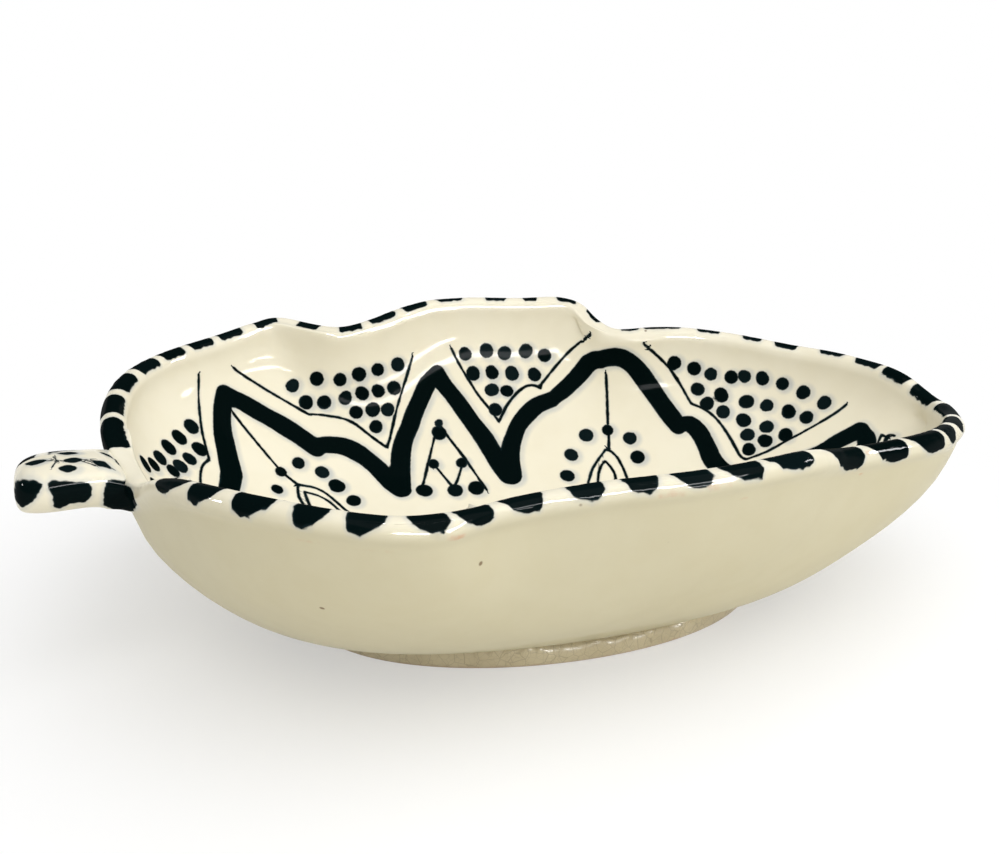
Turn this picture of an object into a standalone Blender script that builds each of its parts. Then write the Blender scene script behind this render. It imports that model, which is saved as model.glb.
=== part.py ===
# Leaf dish: a bowl pressed into the shape of a lobed leaf, an oval foot ring and a short flat stem.
# X runs from the stem to the tip of the leaf, Y across it, and Z up from the table at zero.
import math

import bmesh
import bpy
from mathutils import Vector

# Driving sizes of the bowl, in metres
LEAF_REACH = 0.1134         # middle of the dish to the crest of the rim at the tip
HALF_WIDTH = 0.078          # centre line to the crest of the rim at the widest lobe
RIM_HEIGHT = 0.0607         # table to the crest of the far middle lobe
WALL_THICKNESS = 0.0052
FLOOR_THICKNESS = 0.0066
LIP_DEPTH = 0.0085          # how far the rolled band of the rim comes down on the outside
LIP_OVERHANG = 0.0010       # how far the band stands out from the wall under it
UNDERSIDE_RISE = 0.0012     # how far the hidden underside domes up inside the foot

# Driving sizes of the foot ring
FOOT_CENTRE = 0.0018        # middle of the dish to the middle of the foot
FOOT_HALF_LENGTH = 0.0572
FOOT_HALF_WIDTH = 0.0358
FOOT_HEIGHT = 0.0054
FOOT_WIDTH = 0.0085         # from the outer to the inner face of the ring, at the top
FOOT_TAPER = 0.0012         # each face draws in by this much towards the table
FOOT_EDGE = 0.0009          # rounding of the two edges that stand on the table

# Driving sizes of the stem
STEM_REACH = 0.0240         # crest of the rim to the free end of the stem
STEM_WIDTH = 0.0225
STEM_THICKNESS = 0.0104
STEM_RISE = 0.0019          # crest of the rim at the stem up to the stem's upper face
STEM_CROWN = 0.0012         # how far its upper face swells along the middle
STEM_LAP = 0.0082           # how far the root laps over the rim, in from the lip's outer face

# Fits
SEAT_GAP = 0.0003           # clearance where one piece is luted to another
MERGE_DISTANCE = 0.00001

# Worked out from the sizes above
LIP_THICKNESS = WALL_THICKNESS + LIP_OVERHANG
SEAT_SINK = FLOOR_THICKNESS / 2     # how far the foot's blank runs into the floor before it is cut

# The rim, from the middle of the stem round to the tip: along the leaf as a share of its reach,
# across it as a share of its half width, and the crest as a share of the rim height.
# The leaf is pressed by hand, so its two sides differ a little.
FAR_RIM_SHARES = [
    (-0.826, 0.000, 0.765), (-0.838, 0.115, 0.790), (-0.841, 0.244, 0.828), (-0.829, 0.436, 0.845),
    (-0.787, 0.632, 0.870), (-0.693, 0.800, 0.888), (-0.547, 0.936, 0.908), (-0.437, 0.991, 0.949),
    (-0.394, 0.991, 0.942), (-0.344, 0.949, 0.919), (-0.282, 0.891, 0.906), (-0.194, 0.888, 0.939),
    (-0.088, 0.933, 0.984), (0.018, 0.953, 1.000), (0.194, 0.926, 0.984), (0.304, 0.885, 0.992),
    (0.346, 0.854, 0.962), (0.364, 0.810, 0.883), (0.410, 0.754, 0.852), (0.538, 0.692, 0.872),
    (0.679, 0.600, 0.849), (0.796, 0.475, 0.818), (0.895, 0.322, 0.806), (0.962, 0.158, 0.768),
]
NEAR_RIM_SHARES = [
    (-0.816, -0.128, 0.755), (-0.801, -0.282, 0.815), (-0.772, -0.462, 0.906), (-0.723, -0.667, 0.956),
    (-0.631, -0.840, 0.969), (-0.507, -0.962, 0.956), (-0.410, -1.000, 0.946), (-0.362, -0.981, 0.944),
    (-0.291, -0.928, 0.936), (-0.220, -0.912, 0.944), (-0.115, -0.946, 0.974), (0.044, -0.974, 0.988),
    (0.194, -0.941, 0.988), (0.278, -0.897, 0.979), (0.335, -0.846, 0.952), (0.397, -0.792, 0.919),
    (0.476, -0.744, 0.895), (0.600, -0.679, 0.873), (0.714, -0.583, 0.845), (0.820, -0.442, 0.807),
    (0.906, -0.288, 0.763), (0.964, -0.135, 0.718),
]
TIP_RIM_SHARES = (1.000, 0.000, 0.689)

# The wall between the foot and the band climbs part as a cone and part as a bowl; the share that is
# cone and the power of the bowl's curve, at the stem, at the two long sides and at the tip
BASE_CONE_SHARE = 0.20
SIDE_CONE_SHARE = 0.62
TIP_CONE_SHARE = 0.15
BASE_FULLNESS = 2.75
SIDE_FULLNESS = 3.0
TIP_FULLNESS = 1.95
WALL_TURN_POWER = 12        # how late the wall turns upright to meet the band; higher is later
NOTCH_FADE_SHARE = 0.55     # the notches of the rim fade into the wall above this share of the way out
NOTCH_SPAN_SHARE = 0.14     # share of the rim over which the wall under it is evened out
FLOOR_FADE_SHARE = 0.5      # the floor thins to the wall over this share of the way out

# The band along the rim: share of its overhang and share of its depth
BAND_CURVE_SHARES = [(0.45, 0.20), (0.90, 0.45), (1.00, 0.72), (0.80, 1.00)]
LIP_ROUND_SHARE = 0.42      # rounding of the crest as a share of the lip

# The stem, from the free end to the root: share of its length, of its width and of its thickness,
# and the drop of its upper face as a share of its thickness
STEM_SHARES = [
    (0.00, 0.60, 0.62, 0.30), (0.09, 0.92, 0.92, 0.06), (0.30, 1.00, 0.98, 0.00),
    (0.52, 0.88, 0.92, 0.03), (0.70, 0.92, 1.00, 0.03), (0.82, 1.04, 1.80, 0.00),
    (0.93, 1.00, 0.62, 0.02), (1.00, 0.94, 0.42, 0.30),
]

# Counts
RIM_COLUMNS = 144
FOOT_COLUMNS = 72
UNDERSIDE_ROWS = 3
WALL_ROWS = 9
ROUND_STEPS = 3
STEM_LEVELS = 2
SAMPLES_PER_STRETCH = 24
SHARP_EDGE_DEGREES = 60


def start_empty():
    # Removes every object of the open file and makes the two collections.
    for old in list(bpy.data.objects):
        bpy.data.objects.remove(old, do_unlink=True)
    pieces = bpy.data.collections.new("leaf_dish")
    cutters = bpy.data.collections.new("cutters")
    bpy.context.scene.collection.children.link(pieces)
    bpy.context.scene.collection.children.link(cutters)
    return pieces, cutters


def principled(name, colour, roughness, metallic):
    material = bpy.data.materials.new(name)
    material.use_nodes = True
    shader = material.node_tree.nodes["Principled BSDF"]
    shader.inputs["Base Color"].default_value = (*colour, 1.0)
    shader.inputs["Roughness"].default_value = roughness
    shader.inputs["Metallic"].default_value = metallic
    material.diffuse_color = (*colour, 1.0)
    return material


def bowl_glaze():
    return principled("ivory_glaze", (0.80, 0.76, 0.63), 0.12, 0.0)


def foot_glaze():
    return principled("crackled_foot_glaze", (0.60, 0.53, 0.33), 0.25, 0.0)


def stem_glaze():
    return principled("stem_glaze", (0.78, 0.74, 0.60), 0.12, 0.0)


def rim_corner(shares):
    along, across, height = shares
    return Vector((along * LEAF_REACH, across * HALF_WIDTH, height * RIM_HEIGHT))


def rim_corners():
    # The closed rim, counter-clockwise from the tip along the far side to the stem and back.
    far = [rim_corner(shares) for shares in reversed(FAR_RIM_SHARES)]
    near = [rim_corner(shares) for shares in NEAR_RIM_SHARES]
    return [rim_corner(TIP_RIM_SHARES)] + far + near


def curve_point(before, start, end, after, share):
    # A smooth stretch from start to end that heads along its neighbours at both ends.
    square = share * share
    cube = square * share
    lead_in = (end - before) / 2
    lead_out = (after - start) / 2
    placed = (2 * cube - 3 * square + 1) * start + (3 * square - 2 * cube) * end
    return placed + (cube - 2 * square + share) * lead_in + (cube - square) * lead_out


def rim_line(count):
    # The crest of the rim as evenly spaced points, from the tip round to the tip.
    corners = rim_corners()
    total = len(corners)
    fine = []
    for index in range(total):
        around = [corners[(index + step) % total] for step in (-1, 0, 1, 2)]
        for part in range(SAMPLES_PER_STRETCH):
            fine.append(curve_point(*around, part / SAMPLES_PER_STRETCH))
    fine.append(fine[0])
    lengths = [(b - a).length for a, b in zip(fine, fine[1:])]
    spacing = sum(lengths) / count
    points = []
    travelled = 0.0
    for index, length in enumerate(lengths):
        while len(points) < count and len(points) * spacing <= travelled + length:
            share = (len(points) * spacing - travelled) / length
            points.append(fine[index].lerp(fine[index + 1], share))
        travelled += length
    return points


def evened(points, span_share):
    # Each point becomes the mean of its neighbours, which leaves the leaf without its notches.
    reach = round(len(points) * span_share / 2)
    result = []
    for index in range(len(points)):
        near = [points[(index + step) % len(points)] for step in range(-reach, reach + 1)]
        result.append(sum(near, Vector((0, 0, 0))) / len(near))
    return result


def level(point):
    return Vector((point.x, point.y, 0.0))


def foot_point(direction, inset):
    # A point of the foot's top in one direction, as far in from its outer edge as the inset.
    radius = 1 / math.hypot(direction.x / FOOT_HALF_LENGTH, direction.y / FOOT_HALF_WIDTH)
    return Vector((FOOT_CENTRE, 0.0, FOOT_HEIGHT)) + direction * (radius - inset)


def smooth_step(share):
    share = min(max(share, 0.0), 1.0)
    return share * share * (3 - 2 * share)


def turned(name, profile, columns, closed):
    # Turns a profile, given as reach and height, once round the vertical axis.
    mesh = bpy.data.meshes.new(name)
    edges = [(index, index + 1) for index in range(len(profile) - 1)]
    if closed:
        edges.append((len(profile) - 1, 0))
    mesh.from_pydata([(reach, 0, height) for reach, height in profile], edges, [])
    blank = bpy.data.objects.new(name, mesh)
    bpy.context.scene.collection.objects.link(blank)
    screw = blank.modifiers.new("turn", "SCREW")
    screw.steps = columns
    screw.render_steps = columns
    screw.use_merge_vertices = True
    screw.merge_threshold = MERGE_DISTANCE
    return baked(blank)


def baked(blank):
    # The evaluated shape of a blank as a plain mesh; the blank itself is removed.
    bpy.context.view_layer.update()
    evaluated = blank.evaluated_get(bpy.context.evaluated_depsgraph_get())
    mesh = bpy.data.meshes.new_from_object(evaluated)
    bpy.data.objects.remove(blank, do_unlink=True)
    return mesh


def column_of(vertex, columns):
    turn = math.atan2(vertex.co.y, vertex.co.x) / math.tau
    return round(turn * columns) % columns


def outer_profile():
    # The outer face from the top of the rim down to the centre of the underside, as shares of the way
    # out and up: each zone, underside, wall and band, takes one unit outwards.
    band = [(2 + out, 1 + up) for out, up in reversed(BAND_CURVE_SHARES)]
    wall = [(1 + row / WALL_ROWS, row / WALL_ROWS) for row in range(WALL_ROWS, 0, -1)]
    underside = [(row / UNDERSIDE_ROWS, 0.0) for row in range(UNDERSIDE_ROWS, -1, -1)]
    return band + wall + underside


def wall_rise(out, direction):
    # Share of the wall's height at a share of the way out.
    endwise = direction.x * direction.x
    cone = BASE_CONE_SHARE if direction.x < 0 else TIP_CONE_SHARE
    fullness = BASE_FULLNESS if direction.x < 0 else TIP_FULLNESS
    cone = SIDE_CONE_SHARE + (cone - SIDE_CONE_SHARE) * endwise
    fullness = SIDE_FULLNESS + (fullness - SIDE_FULLNESS) * endwise
    return cone * out + (1 - cone) * out ** fullness


def underside_place(out, direction):
    middle = Vector((FOOT_CENTRE, 0.0, FOOT_HEIGHT))
    rise = Vector((0.0, 0.0, UNDERSIDE_RISE)) * (1 - out * out)
    return middle.lerp(foot_point(direction, 0.0), out) + rise


def wall_place(out, up, direction, guide):
    # A point on the wall, or on the band where up is more than nothing, under one point of the rim.
    outward = level(guide).normalized()
    neck = guide + outward * (LIP_THICKNESS / 2 - LIP_OVERHANG) - Vector((0.0, 0.0, LIP_DEPTH))
    if out > 1:
        return neck + outward * LIP_OVERHANG * (out - 1) + Vector((0.0, 0.0, LIP_DEPTH)) * up
    foot = foot_point(direction, 0.0)
    place = foot.lerp(neck, out + (out - out ** WALL_TURN_POWER) / (WALL_TURN_POWER - 1))
    place.z = foot.z + (neck.z - foot.z) * wall_rise(out, direction)
    return place


def pressed(out, up, crest, plain):
    # Where a point of the turned blank comes to lie under its own point of the crest.
    direction = level(plain).normalized()
    if out <= 1:
        return underside_place(out, direction)
    fade = smooth_step((out - 1 - NOTCH_FADE_SHARE) / (1 - NOTCH_FADE_SHARE))
    return wall_place(out - 1, up - 1, direction, plain.lerp(crest, fade))


def thickness_at(out):
    # The floor thins to the wall over the first part of the wall, and the band fills its overhang.
    thinned = smooth_step((out - 1) / FLOOR_FADE_SHARE)
    plain = FLOOR_THICKNESS + (WALL_THICKNESS - FLOOR_THICKNESS) * thinned
    return plain + LIP_OVERHANG * max(out - 2, 0.0)


def press_leaf(blank, crests, plains):
    # Moves the turned blank onto the leaf: an oval at the foot, the lobed rim at the top.
    group = blank.vertex_groups.new(name="thickness")
    thickest = max(LIP_THICKNESS, FLOOR_THICKNESS)
    for vertex in blank.data.vertices:
        column = column_of(vertex, RIM_COLUMNS)
        out = math.hypot(vertex.co.x, vertex.co.y) / LEAF_REACH
        up = vertex.co.z / RIM_HEIGHT
        vertex.co = pressed(out, up, crests[column], plains[column])
        group.add([vertex.index], thickness_at(out) / thickest, "REPLACE")
    shell = blank.modifiers.new("wall", "SOLIDIFY")
    shell.thickness = thickest
    shell.offset = -1
    shell.use_even_offset = True
    shell.vertex_group = group.name


def round_edges(blank, width):
    rounding = blank.modifiers.new("rounding", "BEVEL")
    rounding.width = width
    rounding.segments = ROUND_STEPS
    rounding.limit_method = "ANGLE"
    rounding.angle_limit = math.radians(SHARP_EDGE_DEGREES)


def finish(blank, name, material, collection):
    # Bakes the modifiers of a blank into the named piece and shades it as glazed clay.
    bpy.context.scene.collection.objects.link(blank)
    mesh = baked(blank)
    mesh.materials.clear()
    mesh.materials.append(material)
    mesh.shade_smooth()
    piece = bpy.data.objects.new(name, mesh)
    collection.objects.link(piece)
    return piece


def leaf_bowl(pieces):
    crests = rim_line(RIM_COLUMNS)
    plains = evened(crests, NOTCH_SPAN_SHARE)
    profile = [(out * LEAF_REACH, up * RIM_HEIGHT) for out, up in outer_profile()]
    blank = bpy.data.objects.new("bowl_blank", turned("bowl_turning", profile, RIM_COLUMNS, False))
    press_leaf(blank, crests, plains)
    round_edges(blank, LIP_THICKNESS * LIP_ROUND_SHARE)
    return finish(blank, "leaf_bowl", bowl_glaze(), pieces)


def ring_profile(top):
    # The section of the foot ring, round its corners, as reach from the ring's outer face and height.
    return [
        (-FOOT_WIDTH, top), (0.0, top), (0.0, FOOT_HEIGHT), (-FOOT_TAPER, 0.0),
        (FOOT_TAPER - FOOT_WIDTH, 0.0), (-FOOT_WIDTH, FOOT_HEIGHT),
    ]


def foot_ring(pieces, bowl_cutter):
    # A turned ring pressed to the oval; its top follows the underside of the bowl.
    top = FOOT_HEIGHT + UNDERSIDE_RISE + SEAT_SINK
    profile = [(FOOT_HALF_LENGTH + reach, height) for reach, height in ring_profile(top)]
    mesh = turned("foot_turning", profile, FOOT_COLUMNS, True)
    for vertex in mesh.vertices:
        direction = Vector((vertex.co.x, vertex.co.y)).normalized()
        inset = FOOT_HALF_LENGTH - math.hypot(vertex.co.x, vertex.co.y)
        place = foot_point(direction.to_3d(), inset)
        vertex.co = (place.x, place.y, vertex.co.z)
    blank = bpy.data.objects.new("foot_blank", mesh)
    round_edges(blank, FOOT_EDGE)
    seat_on(blank, bowl_cutter)
    return finish(blank, "foot_ring", foot_glaze(), pieces)


def grown_cutter(piece, cutters):
    # The bowl grown by the seat clearance, which trims whatever is luted to it.
    mesh = piece.data.copy()
    normals = [normal.vector.copy() for normal in mesh.vertex_normals]
    for vertex, normal in zip(mesh.vertices, normals):
        vertex.co += normal * SEAT_GAP
    cutter = bpy.data.objects.new(piece.name + "_seat", mesh)
    cutters.objects.link(cutter)
    cutter.hide_render = True
    cutter.display_type = "WIRE"
    return cutter


def seat_on(piece, cutter):
    seat = piece.modifiers.new("seat", "BOOLEAN")
    seat.operation = "DIFFERENCE"
    seat.solver = "EXACT"
    seat.object = cutter


def leaf_stem(pieces, bowl_cutter):
    # A soft tongue shaped from a block: cut into stations, then swollen at its free end.
    crest = rim_corner(FAR_RIM_SHARES[0])
    free_end = crest.x - STEM_REACH
    length = STEM_REACH - LIP_THICKNESS / 2 + STEM_LAP
    block = bmesh.new()
    bmesh.ops.create_cube(block, size=1.0)
    for along, *_ in STEM_SHARES[1:-1]:
        geometry = block.verts[:] + block.edges[:] + block.faces[:]
        bmesh.ops.bisect_plane(block, geom=geometry, plane_co=(along - 0.5, 0, 0), plane_no=(1, 0, 0))
    geometry = block.verts[:] + block.edges[:] + block.faces[:]
    bmesh.ops.bisect_plane(block, geom=geometry, plane_co=(0, 0, 0), plane_no=(0, 1, 0))
    for vertex in block.verts:
        along, across, up = vertex.co
        share, width, thickness, drop = min(STEM_SHARES, key=lambda row: abs(row[0] - 0.5 - along))
        height = crest.z + STEM_RISE - (drop + (0.5 - up) * thickness) * STEM_THICKNESS
        crown = (0.5 - abs(across)) * STEM_CROWN if up > 0 else 0.0
        vertex.co = (free_end + share * length, across * width * STEM_WIDTH, height + crown)
    mesh = bpy.data.meshes.new("stem_block")
    block.to_mesh(mesh)
    block.free()
    blank = bpy.data.objects.new("stem_blank", mesh)
    soft = blank.modifiers.new("soft", "SUBSURF")
    soft.levels = STEM_LEVELS
    soft.render_levels = STEM_LEVELS
    seat_on(blank, bowl_cutter)
    return finish(blank, "leaf_stem", stem_glaze(), pieces)


def main():
    pieces, cutters = start_empty()
    bowl = leaf_bowl(pieces)
    bowl_cutter = grown_cutter(bowl, cutters)
    foot_ring(pieces, bowl_cutter)
    leaf_stem(pieces, bowl_cutter)


main()
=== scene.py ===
import math
import random

import bpy
import bmesh
import numpy as np
from mathutils import Matrix, Vector
from mathutils.bvhtree import BVHTree


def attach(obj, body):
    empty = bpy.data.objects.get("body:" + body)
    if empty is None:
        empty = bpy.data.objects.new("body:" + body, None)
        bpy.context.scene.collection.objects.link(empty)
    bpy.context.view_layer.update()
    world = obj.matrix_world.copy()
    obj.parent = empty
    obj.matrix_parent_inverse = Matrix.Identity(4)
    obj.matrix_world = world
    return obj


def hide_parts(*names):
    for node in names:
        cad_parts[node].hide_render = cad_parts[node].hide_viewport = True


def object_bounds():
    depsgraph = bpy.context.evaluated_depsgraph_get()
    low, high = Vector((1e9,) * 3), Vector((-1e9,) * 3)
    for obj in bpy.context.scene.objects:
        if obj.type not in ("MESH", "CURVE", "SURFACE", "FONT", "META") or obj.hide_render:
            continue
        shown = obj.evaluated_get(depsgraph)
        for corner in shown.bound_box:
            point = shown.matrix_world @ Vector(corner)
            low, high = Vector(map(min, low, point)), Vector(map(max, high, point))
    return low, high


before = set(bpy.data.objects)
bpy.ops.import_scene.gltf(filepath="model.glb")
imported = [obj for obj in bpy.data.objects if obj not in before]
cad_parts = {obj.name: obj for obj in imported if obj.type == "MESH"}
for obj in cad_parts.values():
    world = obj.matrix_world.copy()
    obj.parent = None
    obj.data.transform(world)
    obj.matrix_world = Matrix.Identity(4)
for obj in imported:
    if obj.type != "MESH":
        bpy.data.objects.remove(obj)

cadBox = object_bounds()
mm = 0.001
mergeWithin = 0.02      # the CAD's loose corners are one below this distance, mm
pairAngles = (math.radians(50), math.radians(60))       # triangles that lie flatter than this make a quad
print("frame loaded", [round(v, 4) for corner in cadBox for v in corner])


# small tools that every piece uses

def pick(piece):
    bpy.ops.object.select_all(action="DESELECT")
    piece.select_set(True)
    bpy.context.view_layer.objects.active = piece


def editing(piece, work, action="SELECT"):
    # runs some work on a piece in edit mode, with all of it selected or none
    pick(piece)
    bpy.ops.object.mode_set(mode="EDIT")
    bpy.ops.mesh.select_all(action=action)
    work()
    bpy.ops.object.mode_set(mode="OBJECT")


def duplicate(piece, name):
    twin = bpy.data.objects.new(name, piece.data.copy())
    bpy.context.scene.collection.objects.link(twin)
    return twin


def quadCopy(node, name):
    # a copy of a CAD node with its loose triangles merged and paired into quads
    def pairUp():
        bpy.ops.mesh.customdata_custom_splitnormals_clear()
        bpy.ops.mesh.remove_doubles(threshold=mergeWithin * mm)
        bpy.ops.mesh.tris_convert_to_quads(face_threshold=pairAngles[0], shape_threshold=pairAngles[1])

    piece = duplicate(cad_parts[node], name)
    piece.data.materials.clear()
    editing(piece, pairUp)
    return piece


def applyModifier(piece, kind, **values):
    pick(piece)
    modifier = piece.modifiers.new(kind.lower(), kind)
    for key, value in values.items():
        setattr(modifier, key, value)
    bpy.ops.object.modifier_apply(modifier=modifier.name)


def subdivideSurface(piece, levels):
    applyModifier(piece, "SUBSURF", levels=levels, render_levels=levels)


def places(piece):
    # the vertices of a piece in millimetres
    flat = np.empty(len(piece.data.vertices) * 3, np.float32)
    piece.data.vertices.foreach_get("co", flat)
    return flat.reshape(-1, 3).astype(float) / mm


def setPlaces(piece, points):
    piece.data.vertices.foreach_set("co", (points * mm).astype(np.float32).ravel())
    piece.data.update()


def normals(piece):
    flat = np.empty(len(piece.data.vertices) * 3, np.float32)
    piece.data.vertex_normals.foreach_get("vector", flat)
    return flat.reshape(-1, 3).astype(float)


def smoothBy(piece, shares, rounds):
    # smooths each vertex as far as its share says
    group = piece.vertex_groups.new(name="soft")
    for index in np.nonzero(shares > 0.01)[0]:
        group.add([int(index)], float(shares[index]), "REPLACE")
    applyModifier(piece, "SMOOTH", factor=0.5, iterations=rounds, vertex_group=group.name)
    piece.vertex_groups.clear()


def writeValue(piece, name, values):
    attribute = piece.data.attributes.new(name, "FLOAT", "POINT")
    attribute.data.foreach_set("value", values.astype(np.float32))


def dress(piece, material, node):
    piece.data.materials.clear()
    piece.data.materials.append(material)
    pick(piece)
    bpy.ops.object.shade_smooth()
    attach(piece, "root")
    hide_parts(node)


# the leaf-shaped body

leafBody = {
    "formLevels": 3,            # smoothness of the form that the finished mesh is laid on
    "crestPoints": 720,         # points read along the middle of the rim's top
    "crestEvened": 4,           # each is the mean of this many on either side
    "topBand": 0.8,             # what lies this close under the highest point is the rim's top, mm
    "lipRadius": 3.1,           # the rim is about half round, mm
    "fineFrom": 8.0,            # the columns are doubled outside this radius, mm
    "fineDown": 12.0,           # and on the outside down to this far under the rim, mm
    "longestRow": 1.35,         # rows inside are cut where they are longer than this, mm
    "softFrom": (1.6, 4.2),     # the inside is smoothed between these ways down from the rim, mm
    "softTo": (15.0, 26.0),
    "softRounds": 90,
    "tipFrom": (76.0, 92.0),    # more so towards the tip, mm
    "tipRounds": 160,
    "lipHalf": 2.7,             # half width of the rolled rim, mm
    "lipTall": 3.2,             # height of its rounding, mm
    "lipPower": 2.25,           # its fullness: 2 is round, more is squarer
    "lipLift": (-0.3, 0.5),     # how much higher it is on the near side and on the far side, mm
    "liftFrom": (-30.0, 30.0),  # it rises from the one to the other between these places across, mm
    "tipLift": 1.1,             # and most at the tip, up to these lengths along the rim from there, mm
    "tipReach": (8.0, 26.0),
    "liftFades": (0.6, 3.5),    # the lift fades down the wall between these shares of lipTall
    "liftReach": 14.0,          # and ends this far off the rim's middle, mm
    "lipMargin": 1.2,           # what lies this far beyond the lip's half width is rounded with it, mm
    "spare": 0.04,              # the rim stays this far under the CAD's top, mm
    # places along the rim: middle, half length and fade, mm
    "saddle": (310.0, 9.0, 14.0),       # where it melts into the stem
    "saddleDown": (8.0, 12.0),
    "saddleRounds": 70,
    "corners": [(104.0, 5.0, 9.0), (181.0, 4.0, 8.0), (199.0, 4.0, 7.0)],     # sharp places that are softened
    "cornerDown": (10.0, 15.0),
    "cornerInside": (0.5, 3.5),
    "cornerOnLip": 0.3,         # share of the softening on the lip itself
    "cornerRounds": 50,
    "stepIn": (4.6, 8.0),       # the wall outside steps in under the band between these ways down, mm
    "stepDepth": 1.1,
    "stepFade": 30.0,
    "swell": 0.5,               # depth of the glaze's soft unevenness, mm
}


def ringNumbers(bm):
    # how many edges each vertex lies from the middle of the floor
    upward = (v for v in bm.verts if v.normal.z > 0.5)
    start = min(upward, key=lambda v: math.hypot(v.co.x, v.co.y))
    numbers = {start: 0}
    front = [start]
    while front:
        following = []
        for vert in front:
            for edge in vert.link_edges:
                other = edge.other_vert(vert)
                if other not in numbers:
                    numbers[other] = numbers[vert] + 1
                    following.append(other)
        front = following
    return numbers


inwardShares = (0.6, 0.8)       # how much facing up and facing the middle count as facing inside
rimReach = 38.0                 # what lies farther than this from the rim isn't measured from it, mm
runsAside = 36                  # the nearest run of the rim is looked for this many runs either way
besideRim = 1.3                 # so many lip radii from the rim its middle line parts inside and outside
unmeasured = 99.0               # stands for the way to the rim where that isn't measured, mm


def slotOf(points, count):
    # the number of the direction in which each point lies from the middle
    return (np.arctan2(points[:, 1], points[:, 0]) % math.tau / math.tau * count).astype(int) % count


def topHeights(points, count):
    # the greatest height in each direction from the middle of the dish
    slot = slotOf(points, count)
    order = np.lexsort((points[:, 2], slot))
    last = np.searchsorted(slot[order], np.arange(count), side="right") - 1
    return points[order[last], 2]


def rimMiddle(points, count, band):
    # the middle of the rim's top in each direction
    slot = slotOf(points, count)
    onTop = points[:, 2] > topHeights(points, count)[slot] - band
    number = np.bincount(slot[onTop], minlength=count)
    total = [np.bincount(slot[onTop], points[onTop, axis], count) for axis in range(3)]
    return np.stack(total, axis=1) / number[:, None]


def rising(value, low, high):
    share = np.clip((value - low) / (high - low), 0.0, 1.0)
    return share * share * (3 - 2 * share)


def towardInside(points, facing):
    # above nothing on the inside of the dish, below nothing on its outside
    out = points[:, :2] / np.maximum(np.linalg.norm(points[:, :2], axis=1), 1e-6)[:, None]
    return facing[:, 2] * inwardShares[0] - np.sum(facing[:, :2] * out, axis=1) * inwardShares[1]


def nearestRuns(points, crest):
    # for the vertices near the rim: their numbers, the flat way away from its middle line, the length
    # along it, the ways off it sideways (above nothing outside) and down, the distance, and the length
    # of the whole line
    runs = np.roll(crest, -1, axis=0) - crest
    lengths = np.linalg.norm(runs, axis=1)
    starts = np.concatenate([[0.0], np.cumsum(lengths)])
    count = len(crest)
    slot = slotOf(points, count)
    close = np.nonzero(np.linalg.norm(points - crest[slot], axis=1) < rimReach)[0]
    nearest = np.full(len(close), 1e9)
    place, level, drop = (np.zeros(len(close)) for _ in range(3))
    sideways = np.zeros((len(close), 2))
    for step in range(-runsAside, runsAside + 1):
        number = (slot[close] + step) % count
        run = runs[number]
        off = points[close] - crest[number]
        share = np.clip(np.sum(off * run, axis=1) / np.sum(run * run, axis=1), 0.0, 1.0)
        off -= share[:, None] * run
        gap = np.linalg.norm(off, axis=1)
        better = gap < nearest
        nearest[better] = gap[better]
        place[better] = (starts[number] + share * lengths[number])[better]
        hand = np.where(off[:, 0] * run[:, 1] - off[:, 1] * run[:, 0] < 0, -1.0, 1.0)
        flat = np.hypot(off[:, 0], off[:, 1]) * hand
        level[better] = flat[better]
        sideways[better] = (off[:, :2] / (flat + 1e-9 * hand)[:, None])[better]
        drop[better] = -off[better, 2]
    return close, sideways, place, level, drop, nearest, starts[-1]


def rimPlaces(points, inward, crest):
    # for each vertex: length along the rim, and the way over its round top and down, above nothing outside
    close, _, place, level, drop, nearest, total = nearestRuns(points, crest)
    radius = leafBody["lipRadius"]
    reach = np.abs(level) + 1e-6
    way = radius * np.arctan2(reach, np.maximum(radius - drop, 0.0))
    way += np.hypot(np.maximum(drop - radius, 0.0), np.maximum(reach - radius, 0.0))
    inside = np.where(nearest < besideRim * radius, level < 0, inward[close] > 0)
    along = np.zeros(len(points))
    depth = np.where(inward > 0, -unmeasured, unmeasured)
    along[close] = place
    depth[close] = np.where(inside, -way, way)
    return along, depth, total


def roundedLip(points, crest):
    # the flat top of the rim becomes a rolled one, a little higher where there is room for it
    d = leafBody
    close, sideways, place, level, drop, _, total = nearestRuns(points, crest)
    half, tall, power = d["lipHalf"], d["lipTall"], 2 / d["lipPower"]
    reach = np.abs(level)
    room = cadBox[1][2] / mm - d["spare"] - (points[close, 2] + drop)
    near, far = d["lipLift"]
    lift = near + (far - near) * rising(points[close, 1], *d["liftFrom"])
    lift += d["tipLift"] * (1 - rising(np.minimum(place, total - place), *d["tipReach"]))
    lift = np.minimum(room, lift) * (1 - rising(drop, *(tall * share for share in d["liftFades"])))
    lift[reach > d["liftReach"]] = 0
    onLip = (drop < tall) & (reach < half + d["lipMargin"])
    turn = np.clip((np.minimum(reach, half) + np.maximum(drop, 0)) / (half + tall), 0, 1) * math.pi / 2
    beyond = np.maximum(reach - half, 0) * np.clip(drop / tall, 0, 1)
    newLevel = np.copysign(np.minimum(half * np.sin(turn) ** power + beyond, reach), level)
    newDrop = tall * (1 - np.maximum(np.cos(turn), 0) ** power)
    made = points.copy()
    made[close, :2] += sideways * np.where(onLip, newLevel - level, 0)[:, None]
    made[close, 2] += np.where(onLip, drop - newDrop, 0) + lift
    return made


def evened(line, reach):
    total = np.zeros_like(line)
    for step in range(-reach, reach + 1):
        total += np.roll(line, step, axis=0)
    return total / (2 * reach + 1)


def facesIn(place, normal):
    # the same for one face or corner
    out = Vector((place.x, place.y, 0.0)).normalized()
    return normal.z * inwardShares[0] - normal.dot(out) * inwardShares[1]


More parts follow.
